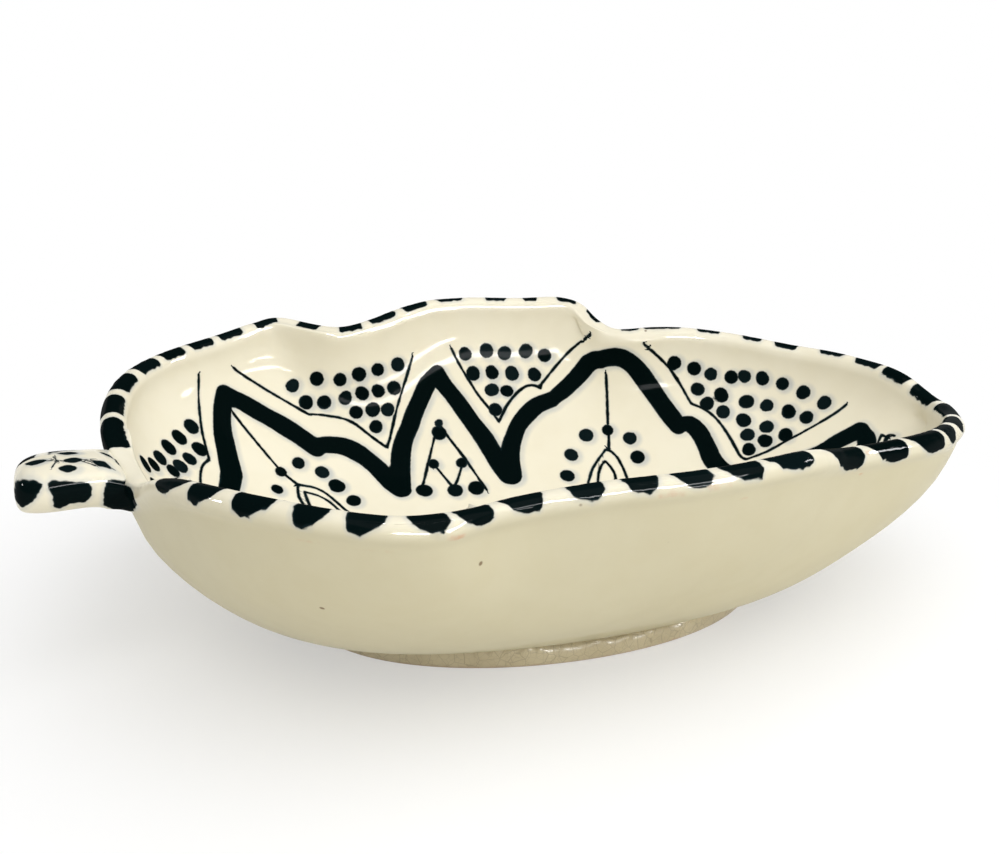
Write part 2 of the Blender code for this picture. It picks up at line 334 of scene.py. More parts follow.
def cutSelected(piece, kind, chosen):
    # cuts the chosen faces or edges once
    def cut():
        bpy.ops.mesh.select_mode(type=kind)
        bm = bmesh.from_edit_mesh(piece.data)
        bm.normal_update()
        chosen(bm)
        bmesh.update_edit_mesh(piece.data)
        bpy.ops.mesh.subdivide(number_cuts=1)
        bpy.ops.mesh.select_mode(type="VERT")

    editing(piece, cut, "DESELECT")


def refine(piece, crest):
    # a finer mesh inside and along the rim, where the painting is
    d = leafBody

    def underCrest(place):
        number = int(math.atan2(place.y, place.x) % math.tau / math.tau * len(crest)) % len(crest)
        return crest[number][2] - place.z / mm

    def fineFaces(bm):
        for face in bm.faces:
            place = face.calc_center_median()
            if facesIn(place, face.normal) > 0:
                fine = math.hypot(place.x, place.y) > d["fineFrom"] * mm
            else:
                fine = underCrest(place) < d["fineDown"]
            face.select_set(fine)

    def longRows(bm):
        numbers = ringNumbers(bm)
        for edge in bm.edges:
            a, b = edge.verts
            inside = facesIn(a.co, a.normal) > 0 and facesIn(b.co, b.normal) > 0
            across = numbers[a] != numbers[b]
            edge.select_set(inside and across and edge.calc_length() > d["longestRow"] * mm)

    cutSelected(piece, "FACE", fineFaces)
    cutSelected(piece, "EDGE", longRows)


def makeBody():
    d = leafBody
    piece = quadCopy("leaf_bowl", "leafBody")
    form = duplicate(piece, "bodyForm")
    subdivideSurface(form, d["formLevels"])
    subdivideSurface(piece, 1)
    crest = evened(rimMiddle(places(form), d["crestPoints"], d["topBand"]), d["crestEvened"])
    refine(piece, crest)
    applyModifier(piece, "SHRINKWRAP", target=form, wrap_method="NEAREST_SURFACEPOINT")
    bpy.data.objects.remove(form)

    def measured():
        points = places(piece)
        return points, *rimPlaces(points, towardInside(points, normals(piece)), crest)[:2]

    # the inside runs up to the rim without a ledge
    points, _, depth = measured()
    soft = rising(-depth, *d["softFrom"])
    smoothBy(piece, soft * (1 - rising(-depth, *d["softTo"])), d["softRounds"])
    smoothBy(piece, soft * rising(points[:, 0], *d["tipFrom"]), d["tipRounds"])
    setPlaces(piece, roundedLip(places(piece), crest))
    # the rim melts into the stem, and its sharp places are softened
    _, along, depth = measured()

    def nearAlong(middle, half, fade):
        return 1 - rising(np.abs(along - middle), half, half + fade)

    saddle = nearAlong(*d["saddle"]) * (1 - rising(np.abs(depth), *d["saddleDown"]))
    smoothBy(piece, saddle, d["saddleRounds"])
    corner = sum(nearAlong(*place) for place in d["corners"]) * (1 - rising(np.abs(depth), *d["cornerDown"]))
    inside = np.where(depth < 0, rising(-depth, *d["cornerInside"]), 0)
    smoothBy(piece, corner * (inside * (1 - d["cornerOnLip"]) + d["cornerOnLip"]), d["cornerRounds"])
    # the wall outside steps in under the rolled band
    low, high = d["stepIn"]
    sink = d["stepDepth"] * rising(depth, low, high) * (1 - rising(depth, high, d["stepFade"]))
    setPlaces(piece, places(piece) - normals(piece) * sink[:, None])
    editing(piece, lambda: bpy.ops.mesh.quads_convert_to_tris(
        quad_method="SHORTEST_DIAGONAL", ngon_method="BEAUTY"))
    return piece, crest


body, crest = makeBody()
bodyTree = BVHTree.FromObject(body, bpy.context.evaluated_depsgraph_get())
print("body", len(body.data.vertices), "vertices")


# the painting: everything is a stroke or a dot of a loaded brush, in millimetres seen from above.
# A value for each point of the glaze says how far it lies from the nearest paint, below nothing in it.

painting = {
    "dotRadius": 2.0,
    "dotsByStem": (-70.0, 1.12),            # the ones before this place are this much larger
    "dotsVary": (0.95, 1.06),
    "dotLoads": [1.0, 1.0, 0.9, 0.75],      # strength of a dot's paint, one of these
    "dotSwipe": (0.1, 0.5),                 # the brush slides this far in a dot, mm
    "dotTaper": (0.86, 1.0),                # and ends this much smaller
    "steep": 0.3,               # a dot that would run farther than this down a steep place stays round, mm
    "wobble": 0.14,             # unevenness of the hand, mm
    "swings": ((0.6, 0.45), (0.4, 1.13)),   # size and pace of its two waves
    "brushStep": 1.3,           # distance of a stroke's points, mm
    "penStep": 1.0,
    "strokeChange": 0.5,        # the hidden near side differs from the far one by up to this, mm
    "dotChange": 0.6,
    "tipLoad": 0.95,
    "bleedShift": (0.55, -0.45, -0.25),     # the blue-grey bleed runs this way out of the paint, mm
    "insideFrom": -0.2,         # what faces inside more than this takes the inner painting
    "seed": 11,
}
noPaint = 6.0           # beyond this distance the paint isn't measured, mm
farFromRim = 20.0       # the glaze takes a longer way to the rim as this, mm

# broad band round the far side, one list from corner to corner: (x, y, half width)
broadStrokes = [
    [(-70, 28, 2.6), (-69.2, 33, 2.8), (-67.4, 39, 3.0), (-66.1, 43.7, 3.0)],
    [(-66.1, 43.7, 3.1), (-66.2, 50.1, 2.9), (-66.3, 55.5, 2.8), (-65.6, 60.3, 2.7), (-64.2, 64.2, 2.6)],
    [(-64.2, 64.2, 2.6), (-60.4, 64.1, 2.7), (-57.3, 63.4, 2.8), (-51.3, 61.0, 2.8), (-45.4, 57.5, 2.8),
     (-41.8, 54.7, 2.7)],
    [(-41.2, 55.6, 2.3), (-39.2, 55.6, 2.6), (-35.9, 55.4, 2.7), (-32.8, 54.5, 2.8), (-29.3, 52.3, 2.8),
     (-26.1, 48.9, 2.8), (-23.6, 44.4, 2.8), (-21.7, 42.2, 2.9)],
    [(-21.7, 42.2, 2.9), (-20.7, 46.3, 2.8), (-18.7, 52.6, 2.7), (-16.7, 55.8, 2.7), (-15.0, 57.5, 2.6),
     (-13.1, 59.8, 2.6), (-10.7, 62.0, 2.5), (-7.7, 64.6, 2.4), (-4.3, 66.2, 2.2)],
    [(-4.3, 66.2, 2.2), (-3.1, 64.4, 2.4), (-0.2, 61.1, 2.5), (2.7, 56.5, 2.7), (5.3, 52.2, 2.8),
     (7.2, 47.1, 2.9), (9.1, 42.3, 3.2)],
    [(9.5, 42.3, 3.2), (11.5, 48.5, 2.8), (13.7, 51.7, 2.6), (16.0, 54.1, 2.6), (19.2, 55.9, 2.6),
     (22.6, 57.1, 2.5), (25.6, 57.3, 2.4), (27.1, 57.3, 2.3)],
    [(27.1, 57.4, 2.2), (31.1, 58.2, 2.4), (35.1, 59.1, 2.5), (38.9, 59.4, 2.6), (42.0, 57.9, 2.7),
     (44.7, 56.5, 2.7), (49.5, 54.0, 2.7), (52.2, 52.2, 2.7), (54.6, 49.6, 2.7), (56.7, 46.3, 2.7),
     (58.6, 42.7, 2.8), (59.4, 41.0, 2.7)],
    [(60.4, 40.9, 2.3), (62.4, 40.0, 2.6), (64.0, 37.4, 2.6), (64.5, 34.7, 2.6), (64.7, 32.1, 2.6),
     (64.8, 29.3, 2.6), (67, 23, 2.8)],
]
# the narrow arch at the tip crosses the middle line, and so does the one at the stem
tipStrokes = [
    [(67, 23, 2.6), (73, 19.8, 2.2), (80, 17.4, 2.2), (87.4, 13.6, 2.3), (93.3, 12.0, 2.5),
     (98.4, 10.3, 2.7)],
    [(98.4, 10.3, 2.7), (98.2, 6, 2.6), (92, 2, 2.5), (86, -2.5, 2.5), (80, -7, 2.5), (73, -12.5, 2.6),
     (66, -18, 2.8)],
    [(-70, 28, 2.6), (-76, 22, 2.5), (-82, 14, 2.5), (-86.0, 5, 2.4), (-87, 1, 2.3)],
    [(-87, 1, 2.3), (-85, -6, 2.4), (-80, -15, 2.5), (-75, -22, 2.5), (-70, -28, 2.7)],
    [(100.8, 2.0, 0.5), (102.6, 3.3, 0.7), (103.8, 2.0, 0.5)],
]
# thin outlines, each a path of curves that meet in corners. Where two paths run side by side, the clay
# between them lies on the same hand of both.
thinPaths = [
    [[(-70.7, 63.7), (-71.5, 60.3), (-71.9, 54.4), (-71.7, 50.0), (-71.3, 45.6)],
     [(-71.3, 45.6), (-73.2, 43.0), (-74.3, 39.7), (-75.2, 34.5), (-77, 29.5)]],
    [[(-60.9, 69.0, 46.5), (-56.6, 68.7, 43.0), (-52.4, 67.6, 40.0), (-47.1, 65.5, 36.6),
      (-41.6, 62.8, 33.2)],
     [(-41.2, 62.9), (-37.7, 62.2), (-33.2, 60.9), (-30.1, 59.6), (-26.7, 57.2), (-22.3, 53.9)],
     [(-22.3, 53.9), (-18.3, 60.1), (-15.0, 63.9), (-11.1, 67.7)]],
    [[(0.7, 69.2), (4.0, 65.1), (6.4, 61.3), (8.5, 58.6), (10.5, 55.4)],
     [(10.5, 55.4), (13.3, 58.0), (17.0, 60.2), (20.7, 61.3), (23.1, 60.9), (24.6, 60.1)],
     [(25.0, 60.7, 37.1), (28.8, 62.1, 40.4), (33.0, 62.9, 44.3), (36.6, 62.8, 47.4), (39.7, 60.6, 50.7)]],
    [[(53.2, 53.1, 48.8), (56.6, 51.8, 45.7), (59.7, 50.0, 42.3), (62.3, 47.2, 37.8), (64.3, 43.2, 32.6)],
     [(64.6, 43.0), (67.4, 40.6), (69.6, 37.2), (71.0, 32.0), (71.6, 26.4), (72.6, 24.8)],
     [(72.6, 24.8), (78.2, 23.2), (83.8, 22.1), (91.8, 20.0), (98.6, 18.0)]],
    # inside the big arch next to the stem
    [[(-62.8, 61.2), (-59.7, 57.5), (-55.6, 52.2), (-52.6, 48.2), (-48.9, 44.8)]],
    [[(-31, 17), (-38, 22), (-44.2, 29), (-48, 36), (-49.4, 41), (-48.9, 44.8)],
     [(-48.9, 44.8), (-44.5, 44.1), (-41.2, 41.4), (-37.0, 34), (-33.8, 27), (-31, 17)]],
    [[(-38.5, 25.5), (-39.7, 35), (-41.9, 39.6), (-44.4, 41.7), (-47.6, 42.7)],
     [(-47.6, 42.7), (-46.9, 37), (-43.5, 31), (-38.5, 25.5)]],
    # inside the narrow arch
    [[(-8.6, 54.7), (-11.7, 49.6), (-15.1, 43.3)]],
    [[(-6.2, 56.6), (-1.7, 48.4), (1.6, 38.7)]],
    [[(-10.4, 47.7), (-8.8, 44.2), (-7.3, 40.7)], [(-7.3, 40.7), (-5.0, 43.7), (-3.2, 46.6)]],
    # inside the big arch next to the tip
    [[(43.1, 56.1), (42.4, 53.1), (41.0, 48.8)]],
    [[(40.5, 46.7), (39.4, 43.8)]],
    [[(26, 18), (26.2, 26), (28.4, 33), (31.8, 38.6), (34.5, 41.4), (38.4, 43.9)],
     [(38.4, 43.9), (39.8, 43.0), (41.2, 39.9), (40.8, 33), (36, 26), (26, 18)]],
    [[(30.5, 27), (35.5, 31), (38.3, 36), (38.2, 39.2), (37.2, 41.4)],
     [(37.2, 41.4), (34.6, 39.1), (31.8, 33), (30.5, 27)]],
    [[(100.2, 3.8), (101.8, 5.0)], [(101.8, 5.0), (102.4, 2.8)]],
]
dots = [
    (-74.6, 52.9), (-78.1, 47.8), (-81.4, 42.4), (-84.3, 36.1), (-86.3, 31.0), (-88.4, 26.6), (-73.3, 47.6),
    (-76.5, 42.9), (-79.3, 38.5), (-81.4, 35.0), (-86.4, 22.4), (-89.3, 16.0),
    (-45.2, 68.7), (-38.5, 67.5), (-42.2, 65.3), (-37.3, 64.4), (-32.5, 65.4), (-27.2, 65.0), (-21.8, 65.3),
    (-15.8, 66.3), (-31.6, 63.5), (-26.7, 63.3), (-22.2, 63.4), (-17.6, 63.8), (-29.1, 61.3), (-24.5, 61.2),
    (-20.2, 61.0), (-24.3, 58.4),
    (4.6, 68.3), (10.9, 68.1), (16.0, 67.2), (22.0, 66.4), (27.4, 64.7), (6.0, 65.3), (11.6, 64.9),
    (17.3, 64.0), (23.7, 62.7), (10.3, 61.9), (14.9, 61.2), (10.3, 58.0), (61.4, 49.6), (66.5, 47.1),
    (70.7, 44.7), (75.7, 41.8), (78.9, 40.0), (83.0, 36.9), (87.2, 33.0), (91.2, 28.2), (94.8, 22.7),
    (66.8, 44.5), (72.4, 40.7), (68.2, 41.4), (71.6, 37.8), (78.2, 36.3), (82.4, 32.6), (86.7, 27.7),
    (89.9, 23.5), (75.9, 33.3), (80.5, 28.6), (75.4, 29.9), (78.8, 25.8), (83.7, 23.6), (74.2, 26.5),
    (-47.5, 50.7), (-52.7, 48.0), (-54.7, 42.5), (-41.5, 48.6), (-38.5, 44.7), (-35.3, 39.4), (-7.0, 55.3),
    (-6.6, 57.3), (-10.7, 48.3), (-3.0, 47.4), (-15.4, 41.0), (-7.2, 39.9), (-1.2, 39.8), (40.5, 47.6),
    (34.3, 48.3), (45.8, 44.1), (28.6, 44.9), (46.3, 39.3), (25.4, 39.6),
]
oddDots = {(-52.7, 48.0): 1.7, (-54.7, 42.5): 1.6, (-47.5, 50.7): 1.8, (-10.7, 48.3): 1.6, (-3.0, 47.4): 1.6,
           (40.5, 47.6): 1.7, (-38.5, 44.7): 2.3, (-15.4, 41.0): 2.2, (-7.2, 39.9): 2.2, (-1.2, 39.8): 2.2,
           (-7.0, 55.3): 2.2, (-6.6, 57.3): 1.3}
# the middle of the floor can't be seen, so it has a plain rosette
rosette = {
    "load": 0.9,
    "ring": (21.0, 11.0),       # half length and half width, mm
    "ringHalf": 1.25,           # half width of its stroke, mm
    "ringPoints": 60,
    "petals": 8,
    "petalReach": (14.5, 7.6),
    "petalSide": (0.55, 0.3),   # its sides pass at this share of the reach, this far beside it in radians
    "tipDots": (1.08, 1.1),     # their place as a share of the reach, and their radius in mm
    "dotRing": (25.5, 14.6),
    "dots": 16,
    "dotRadius": 1.5,
    "middleDot": 2.2,
}
paintLayers = ("paintDistance", "dotDistance1", "dotDistance2", "dotDistance3")
noDots = 99.0           # a layer without dots counts as this far away, mm


class Glaze:
    # gathers the distances to the paint and its strength for the vertices of one piece
    def __init__(self, piece):
        self.points = places(piece)
        count = len(self.points)
        unpainted = (np.full(count, noPaint) for _ in range(4))
        self.nearest, self.bleed, self.lineOffset, self.lineDistance = unpainted
        self.layers = [np.full(count, noPaint) for _ in paintLayers]
        self.dots = []
        self.strength = np.ones(count)

    def near(self, line, allowed):
        low, high = line.min(0) - noPaint, line.max(0) + noPaint
        return np.nonzero(np.all((self.points > low) & (self.points < high), axis=1) & allowed)[0]

    def settle(self, index, distance, bleed, strength, layer=0):
        closer = distance < self.nearest[index]
        self.nearest[index[closer]] = distance[closer]
        self.strength[index[closer]] = strength
        self.layers[layer][index] = np.minimum(self.layers[layer][index], distance)
        self.bleed[index] = np.minimum(self.bleed[index], bleed)

    def stroke(self, line, radii, strength, allowed, layer=0):
        index = self.near(line, allowed)
        gaps = []
        for shift in ((0, 0, 0), painting["bleedShift"]):
            points = self.points[index] - shift
            best = np.full(len(index), noPaint)
            for a, b, ra, rb in zip(line, line[1:], radii, radii[1:]):
                run = b - a
                share = np.clip((points - a) @ run / max(run @ run, 1e-9), 0.0, 1.0)
                gap = np.linalg.norm(points - a - share[:, None] * run, axis=1) - (ra + (rb - ra) * share)
                best = np.minimum(best, gap)
            gaps.append(best)
        self.settle(index, *gaps, strength, layer)

    def dotLayer(self, x, y):
        # dots that are neighbours lie in different layers, so that they don't run together
        gaps = [min([math.hypot(x - a, y - b) for a, b, used in self.dots if used == layer], default=noDots)
                for layer in range(1, len(paintLayers))]
        layer = 1 + gaps.index(max(gaps))
        self.dots.append((x, y, layer))
        return layer

    def thinStroke(self, line, allowed):
        # a thin line is kept as the offset to one side of it, so that it stays even between the vertices
        index = self.near(line, allowed)
        points = self.points[index]
        best, nearest, offset = (np.full(len(index), noPaint) for _ in range(3))
        for a, b in zip(line, line[1:]):
            run = b - a
            if run @ run < 1e-6:
                continue
            share = np.clip((points - a) @ run / (run @ run), 0.0, 1.0)
            off = points - a - share[:, None] * run
            gap = np.linalg.norm(off, axis=1)
            side = ((points - a)[:, 0] * run[1] - (points - a)[:, 1] * run[0]) / np.hypot(run[0], run[1])
            score = gap - 0.001 * np.abs(side)
            closer = score < best
            best[closer] = score[closer]
            nearest[closer] = gap[closer]
            offset[closer] = np.copysign(gap, side)[closer]
        closer = nearest < self.lineDistance[index]
        self.lineDistance[index[closer]] = nearest[closer]
        self.lineOffset[index[closer]] = offset[closer]

    def write(self, piece):
        for name, values in (*zip(paintLayers, self.layers), ("paintBleed", self.bleed),
                             ("paintStrength", self.strength), ("lineOffset", self.lineOffset),
                             ("lineDistance", self.lineDistance)):
            writeValue(piece, name, values)


def throughPoints(points, step):
    # a smooth line through the points, with a point at each step
    points = np.array(points, float)
    ends = np.vstack([2 * points[0] - points[1], points, 2 * points[-1] - points[-2]])
    made = []
    for before, a, b, after in zip(ends, ends[1:], ends[2:], ends[3:]):
        count = max(2, int(np.linalg.norm((b - a)[:2]) / step))
        for share in np.arange(count) / count:
            square, cube = share ** 2, share ** 3
            made.append((2 * cube - 3 * square + 1) * a + (3 * square - 2 * cube) * b
                        + (cube - 2 * square + share) * (b - before) / 2 + (cube - square) * (after - a) / 2)
    made.append(points[-1])
    return np.array(made)


def loweredOnto(tree, x, y):
    # the point of a surface under a place seen from above, in mm
    found = tree.ray_cast(Vector((x * mm, y * mm, 0.2)), Vector((0, 0, -1)))[0]
    return np.array(found) / mm if found else None


def onSurface(tree, point):
    # the points of a curve on a steep place have heights too
    if len(point) == 2:
        return loweredOnto(tree, *point)
    return np.array(tree.find_nearest(Vector(point) * mm)[0]) / mm


def brush(glaze, tree, points, strength, allowed, dice):
    # a broad stroke through (x, y, half width)
    laid, radii = [], []
    drift = dice.uniform(0, 6)
    for number, (x, y, r) in enumerate(throughPoints(points, painting["brushStep"])):
        swing = sum(math.sin(number * pace + drift) * size for size, pace in painting["swings"])
        place = loweredOnto(tree, x, y)
        if place is not None:
            laid.append(place)
            radii.append(r + swing * painting["wobble"] * min(r / 2, 1))
    if len(laid) > 1:
        glaze.stroke(np.array(laid), radii, strength, allowed)


def pen(glaze, tree, path, allowed, step=painting["penStep"]):
    # a thin line along a path of curves that meet in corners
    line = [point for curve in path for point in throughPoints(curve, step)]
    laid = [place for place in (onSurface(tree, point) for point in line) if place is not None]
    glaze.thinStroke(np.array(laid), allowed)


def dab(glaze, tree, x, y, radius, strength, allowed, dice):
    d = painting
    lean = dice.uniform(0, math.pi)
    longer = dice.uniform(*d["dotSwipe"])
    start = loweredOnto(tree, x, y)
    end = loweredOnto(tree, x + math.cos(lean) * longer, y + math.sin(lean) * longer)
    if start is None or end is None:
        return
    if np.linalg.norm(end - start) > longer + d["steep"]:
        end = start
    radii = [radius, radius * dice.uniform(*d["dotTaper"])]
    glaze.stroke(np.array([start, end]), radii, strength, allowed, glaze.dotLayer(x, y))


def paintRosette(glaze, tree, inside, dice):
    d = rosette

    def onOval(reach, turn, share=1.0):
        return share * reach[0] * math.cos(turn), share * reach[1] * math.sin(turn)

    turns = [math.tau * n / d["ringPoints"] for n in range(d["ringPoints"] + 1)]
    ring = [(*onOval(d["ring"], t), d["ringHalf"]) for t in turns]
    brush(glaze, tree, ring, d["load"], inside, dice)
    share, angle = d["petalSide"]
    farther, radius = d["tipDots"]
    for n in range(d["petals"]):
        t = math.tau * (n + 0.5) / d["petals"]
        tip = onOval(d["petalReach"], t)
        left, right = (onOval(d["petalReach"], t + side, share) for side in (angle, -angle))
        pen(glaze, tree, [[(0, 0), left, tip], [tip, right, (0, 0)]], inside)
        dab(glaze, tree, tip[0] * farther, tip[1] * farther, radius, d["load"], inside, dice)
    for n in range(d["dots"]):
        place = onOval(d["dotRing"], math.tau * n / d["dots"])
        dab(glaze, tree, *place, d["dotRadius"], d["load"], inside, dice)
    dab(glaze, tree, 0, 0, d["middleDot"], 1.0, inside, dice)


def paintInside(glaze, tree, inside, dice):
    d = painting

    def bothSides(points, change):
        # the hidden near side repeats the far one, with a hand's small changes
        yield points
        yield [(p[0] + dice.uniform(-change, change), -p[1] + dice.uniform(-change, change), *p[2:])
               for p in points]

    for points in broadStrokes:
        for side in bothSides(points, d["strokeChange"]):
            brush(glaze, tree, side, 1.0, inside, dice)
    for points in tipStrokes:
        brush(glaze, tree, points, d["tipLoad"], inside, dice)
    for path in thinPaths:
        pen(glaze, tree, path, inside)
        pen(glaze, tree, [[(p[0], -p[1], *p[2:]) for p in curve] for curve in path], inside)
    stemSide, larger = d["dotsByStem"]
    for x, y in dots:
        radius = oddDots.get((x, y), d["dotRadius"]) * dice.uniform(*d["dotsVary"])
        if x < stemSide:
            radius *= larger
        for side in bothSides([(x, y)], d["dotChange"]):
            dab(glaze, tree, *side[0], radius, dice.choice(d["dotLoads"]), inside, dice)
    paintRosette(glaze, tree, inside, dice)


# the dashes over the rim, in millimetres along it from the tip, counter-clockwise:
# start, end, reach down the inside, reach down the outside, and the near ones' shape

rimDashes = {
    "far": [
        (-5.0, 6.0, 2.5, 4.6), (8.0, 15.5, 2.5, 4.6), (16.8, 24.5, 1.9, 4.6), (28.0, 35.0, 1.5, 4.6),
        (41.0, 48.0, 1.9, 4.6), (51.5, 57.5, 1.6, 4.6), (63.5, 70.5, 1.4, 4.6), (75.0, 85.5, 1.0, 4.4),
        (87.0, 92.0, 1.0, 4.4), (99.5, 105.0, 1.1, 4.4), (109.0, 115.0, 1.9, 4.6), (120.5, 125.0, 1.5, 4.6),
        (129.5, 136.0, 1.4, 4.6), (142.5, 151.0, 1.4, 4.6), (154.0, 161.8, 2.0, 4.6),
        (164.2, 172.3, 2.0, 4.6), (174.5, 181.0, 2.1, 4.6), (186.5, 193.0, 2.3, 4.6),
        (199.5, 207.0, 2.2, 4.6), (211.0, 218.5, 2.3, 4.6), (220.8, 228.5, 2.4, 4.6),
        (230.6, 238.8, 2.6, 4.6), (241.0, 250.6, 2.8, 4.8), (253.0, 264.0, 2.8, 4.8),
        (267.2, 279.6, 2.8, 4.8), (282.2, 296.0, 2.8, 4.8),
    ],
    "near": [
        (339.5, 351.5, 2.4, 4.3, "cup"), (353.6, 362.6, 2.4, 5.0, "cup"), (366.6, 375.2, 2.4, 5.2, "cup"),
        (379.2, 386.0, 2.4, 5.2, "cup"), (389.0, 396.2, 2.4, 5.0, "cup"), (399.0, 406.6, 2.4, 4.4, "slant"),
        (407.6, 415.8, 2.4, 4.3, "slant"), (418.2, 427.0, 2.4, 4.4, "slant"),
        (431.0, 438.5, 2.4, 4.2, "slant"), (442.0, 449.0, 2.4, 4.2, "slant"),
        (451.5, 459.5, 2.4, 4.4, "slant"), (461.5, 471.0, 2.4, 4.4, "slant"),
        (472.5, 485.0, 2.4, 4.4, "slant"), (491.5, 507.0, 2.4, 6.2, "slant"),
        (509.5, 523.0, 2.4, 6.0, "slant"), (524.5, 540.0, 2.4, 5.9, "slant"),
        (542.0, 551.0, 2.6, 5.4, "cup"), (554.5, 567.5, 2.6, 4.6, "cup"), (571.5, 589.0, 2.6, 4.6, "cup"),
    ],
    # outlines as shares of half the length and of the reach down the outside
    "cup": [(-1.0, 0.1), (-0.97, 0.5), (-0.78, 0.86), (-0.35, 1.0), (0.05, 0.9), (0.5, 0.66), (0.86, 0.4),
            (1.0, 0.1)],
    "slant": [(-1.0, 0.0), (-0.74, 0.36), (-0.46, 0.74), (-0.05, 0.96), (0.35, 1.0), (0.82, 0.9),
              (0.98, 0.55), (1.0, 0.0)],
    "square": [(-1.0, 0.0), (-0.94, 0.5), (-0.7, 0.9), (0.1, 1.0), (0.7, 0.88), (0.96, 0.5), (1.0, 0.0)],
    "corner": 0.7,          # rounding of a dash's corners, mm
    "shake": 0.25,          # unevenness of the outline, mm
    "endShift": 0.5,        # and of its inner end, mm
    "ragged": ((0.12, 2.6), (0.06, 5.3), (0.06, 3.1)),      # size and pace of the edge's waves, mm
    "dripCounts": [1, 2, 2, 3],             # small runs at the lower edge, so many on a dash
    "dripSpread": {"slant": (0.1, 0.8), "cup": (-0.5, 0.1), "square": (-0.5, 0.1)},     # shares of its half
    "dripFrom": 0.9,        # they start from this share of its reach
    "drips": (0.05, 0.5),   # and reach this far past it, mm
    "dripHalf": 0.34,       # half width of a run, mm
    "bleed": 0.3,           # the bleed is narrower by this, mm
    "load": (0.86, 1.0),
    "nearRim": 14.0,        # all of it lies closer to the rim than this, mm
}
# the last patch of the stem's near side runs on over the body, corners as (y, z)
rootPatch = [(-6.0, 43.0), (-9.5, 44.2), (-15.0, 45.5), (-19.0, 45.8), (-20.0, 44.6), (-19.0, 43.0),
             (-12.0, 39.6), (-6.0, 37.2)]
rootReach = -88.0       # it lies before this place, mm
rootFacing = 0.3        # and on what faces inside less than this
patchBleed = 0.2        # the bleed of this patch and the stem's own is narrower by this, mm
patchLoad = 0.95
# pink-brown smears of the colour on the near rim, and a painted shadow line: the two long thin ones low on
# the band paint the shade under its lower edge. Columns: along, down, half length, half height, strength
smearsAndBandShadow = [(450.5, 5.0, 3.2, 1.2, 0.5), (459.5, 4.2, 3.5, 2.2, 0.5), (407.5, 5.6, 2.2, 0.6, 0.9),
          (467.2, 8.6, 1.0, 0.5, 0.8), (508.5, 2.4, 1.6, 0.8, 0.5), (445.0, 3.0, 2.0, 1.2, 0.35),
          (435.0, 7.4, 2.6, 0.7, 0.3), (508.0, 7.6, 1.8, 0.4, 0.6), (383.5, 7.9, 22.0, 0.45, 0.34),
          (358.5, 7.2, 8.0, 0.4, 0.3)]


def polygonDistance(x, y, corners):
    # signed distance to a flat polygon, below nothing inside
    best = np.full(len(x), 1e9)
    inside = np.zeros(len(x), bool)
    for (ax, ay), (bx, by) in zip(corners, corners[1:] + corners[:1]):
        ex, ey = bx - ax, by - ay
        share = np.clip(((x - ax) * ex + (y - ay) * ey) / (ex * ex + ey * ey), 0.0, 1.0)
        best = np.minimum(best, np.hypot(x - ax - share * ex, y - ay - share * ey))
        crosses = (ay > y) != (by > y)
        rise = by - ay if abs(by - ay) > 1e-9 else 1e-9
        inside ^= crosses & (x < (y - ay) * ex / rise + ax)
    return np.where(inside, -best, best)


def fromPlace(along, place, total):
    # the length along the rim from a place, the shorter way round
    return (along - place + total / 2) % total - total / 2


def paintRim(glaze, along, depth, total, dice):
    d = rimDashes
    corner = d["corner"]
    for start, end, inner, outer, kind in [(*dash, "square") for dash in d["far"]] + d["near"]:
        x = fromPlace(along, (start + end) / 2, total)
        index = np.nonzero((np.abs(x) < (end - start) / 2 + noPaint) & (np.abs(depth) < d["nearRim"]))[0]
        half, inner, outer = (end - start) / 2 - corner, inner - corner, outer - corner
        shake = [dice.uniform(-d["shake"], d["shake"]) for _ in d[kind]]
        corners = [(-half + dice.uniform(0, d["endShift"]), -inner)]
        corners += [(half * a + s, outer * b) for (a, b), s in zip(d[kind], shake)]
        corners += [(half - dice.uniform(0, d["endShift"]), -inner)]
        px, py = x[index], depth[index]
        waves = zip(d["ragged"], (px, px, py), (start, end, start))
        ragged = sum(size * np.sin(way * pace + shift) for (size, pace), way, shift in waves)
        gap = polygonDistance(px, py, corners) - corner + ragged
        for _ in range(dice.choice(d["dripCounts"])):
            place = half * dice.uniform(*d["dripSpread"][kind])
            run = outer * d["dripFrom"] + corner + dice.uniform(*d["drips"])
            reach = np.clip(py, 0.0, run)
            gap = np.minimum(gap, np.hypot(px - place, py - reach) - d["dripHalf"])
        gap = np.minimum(gap, noPaint)
        glaze.settle(index, gap, gap + d["bleed"], dice.uniform(*d["load"]))


def paintBody(piece, tree, crest):
    dice = random.Random(painting["seed"])
    glaze = Glaze(piece)
    inward = towardInside(glaze.points, normals(piece))
    paintInside(glaze, tree, inward > painting["insideFrom"], dice)
    along, depth, total = rimPlaces(glaze.points, inward, crest)
    print("length of the rim", round(total, 1))
    paintRim(glaze, along, depth, total, dice)
    x, y, z = glaze.points.T
    index = np.nonzero((x < rootReach) & (inward < rootFacing) & (y < 0))[0]
    gap = polygonDistance(y[index], z[index], rootPatch)
    glaze.settle(index, gap, gap + patchBleed, patchLoad)
    glaze.write(piece)
    # pink-brown smears, and the painted shadow line under the near band
    stainAndShadow = np.zeros(len(glaze.points))
    for place, down, length, height, strength in smearsAndBandShadow:
        off = fromPlace(along, place, total) / length
        stainAndShadow = np.maximum(stainAndShadow, strength * np.exp(-off ** 2 - ((depth - down) / height) ** 2))
    writeValue(piece, "smearAndShadow", stainAndShadow)
    writeValue(piece, "rimDepth", np.clip(depth, -farFromRim, farFromRim))


paintBody(body, bodyTree, crest)
print("painting laid on")


# the stem, painted in the same way

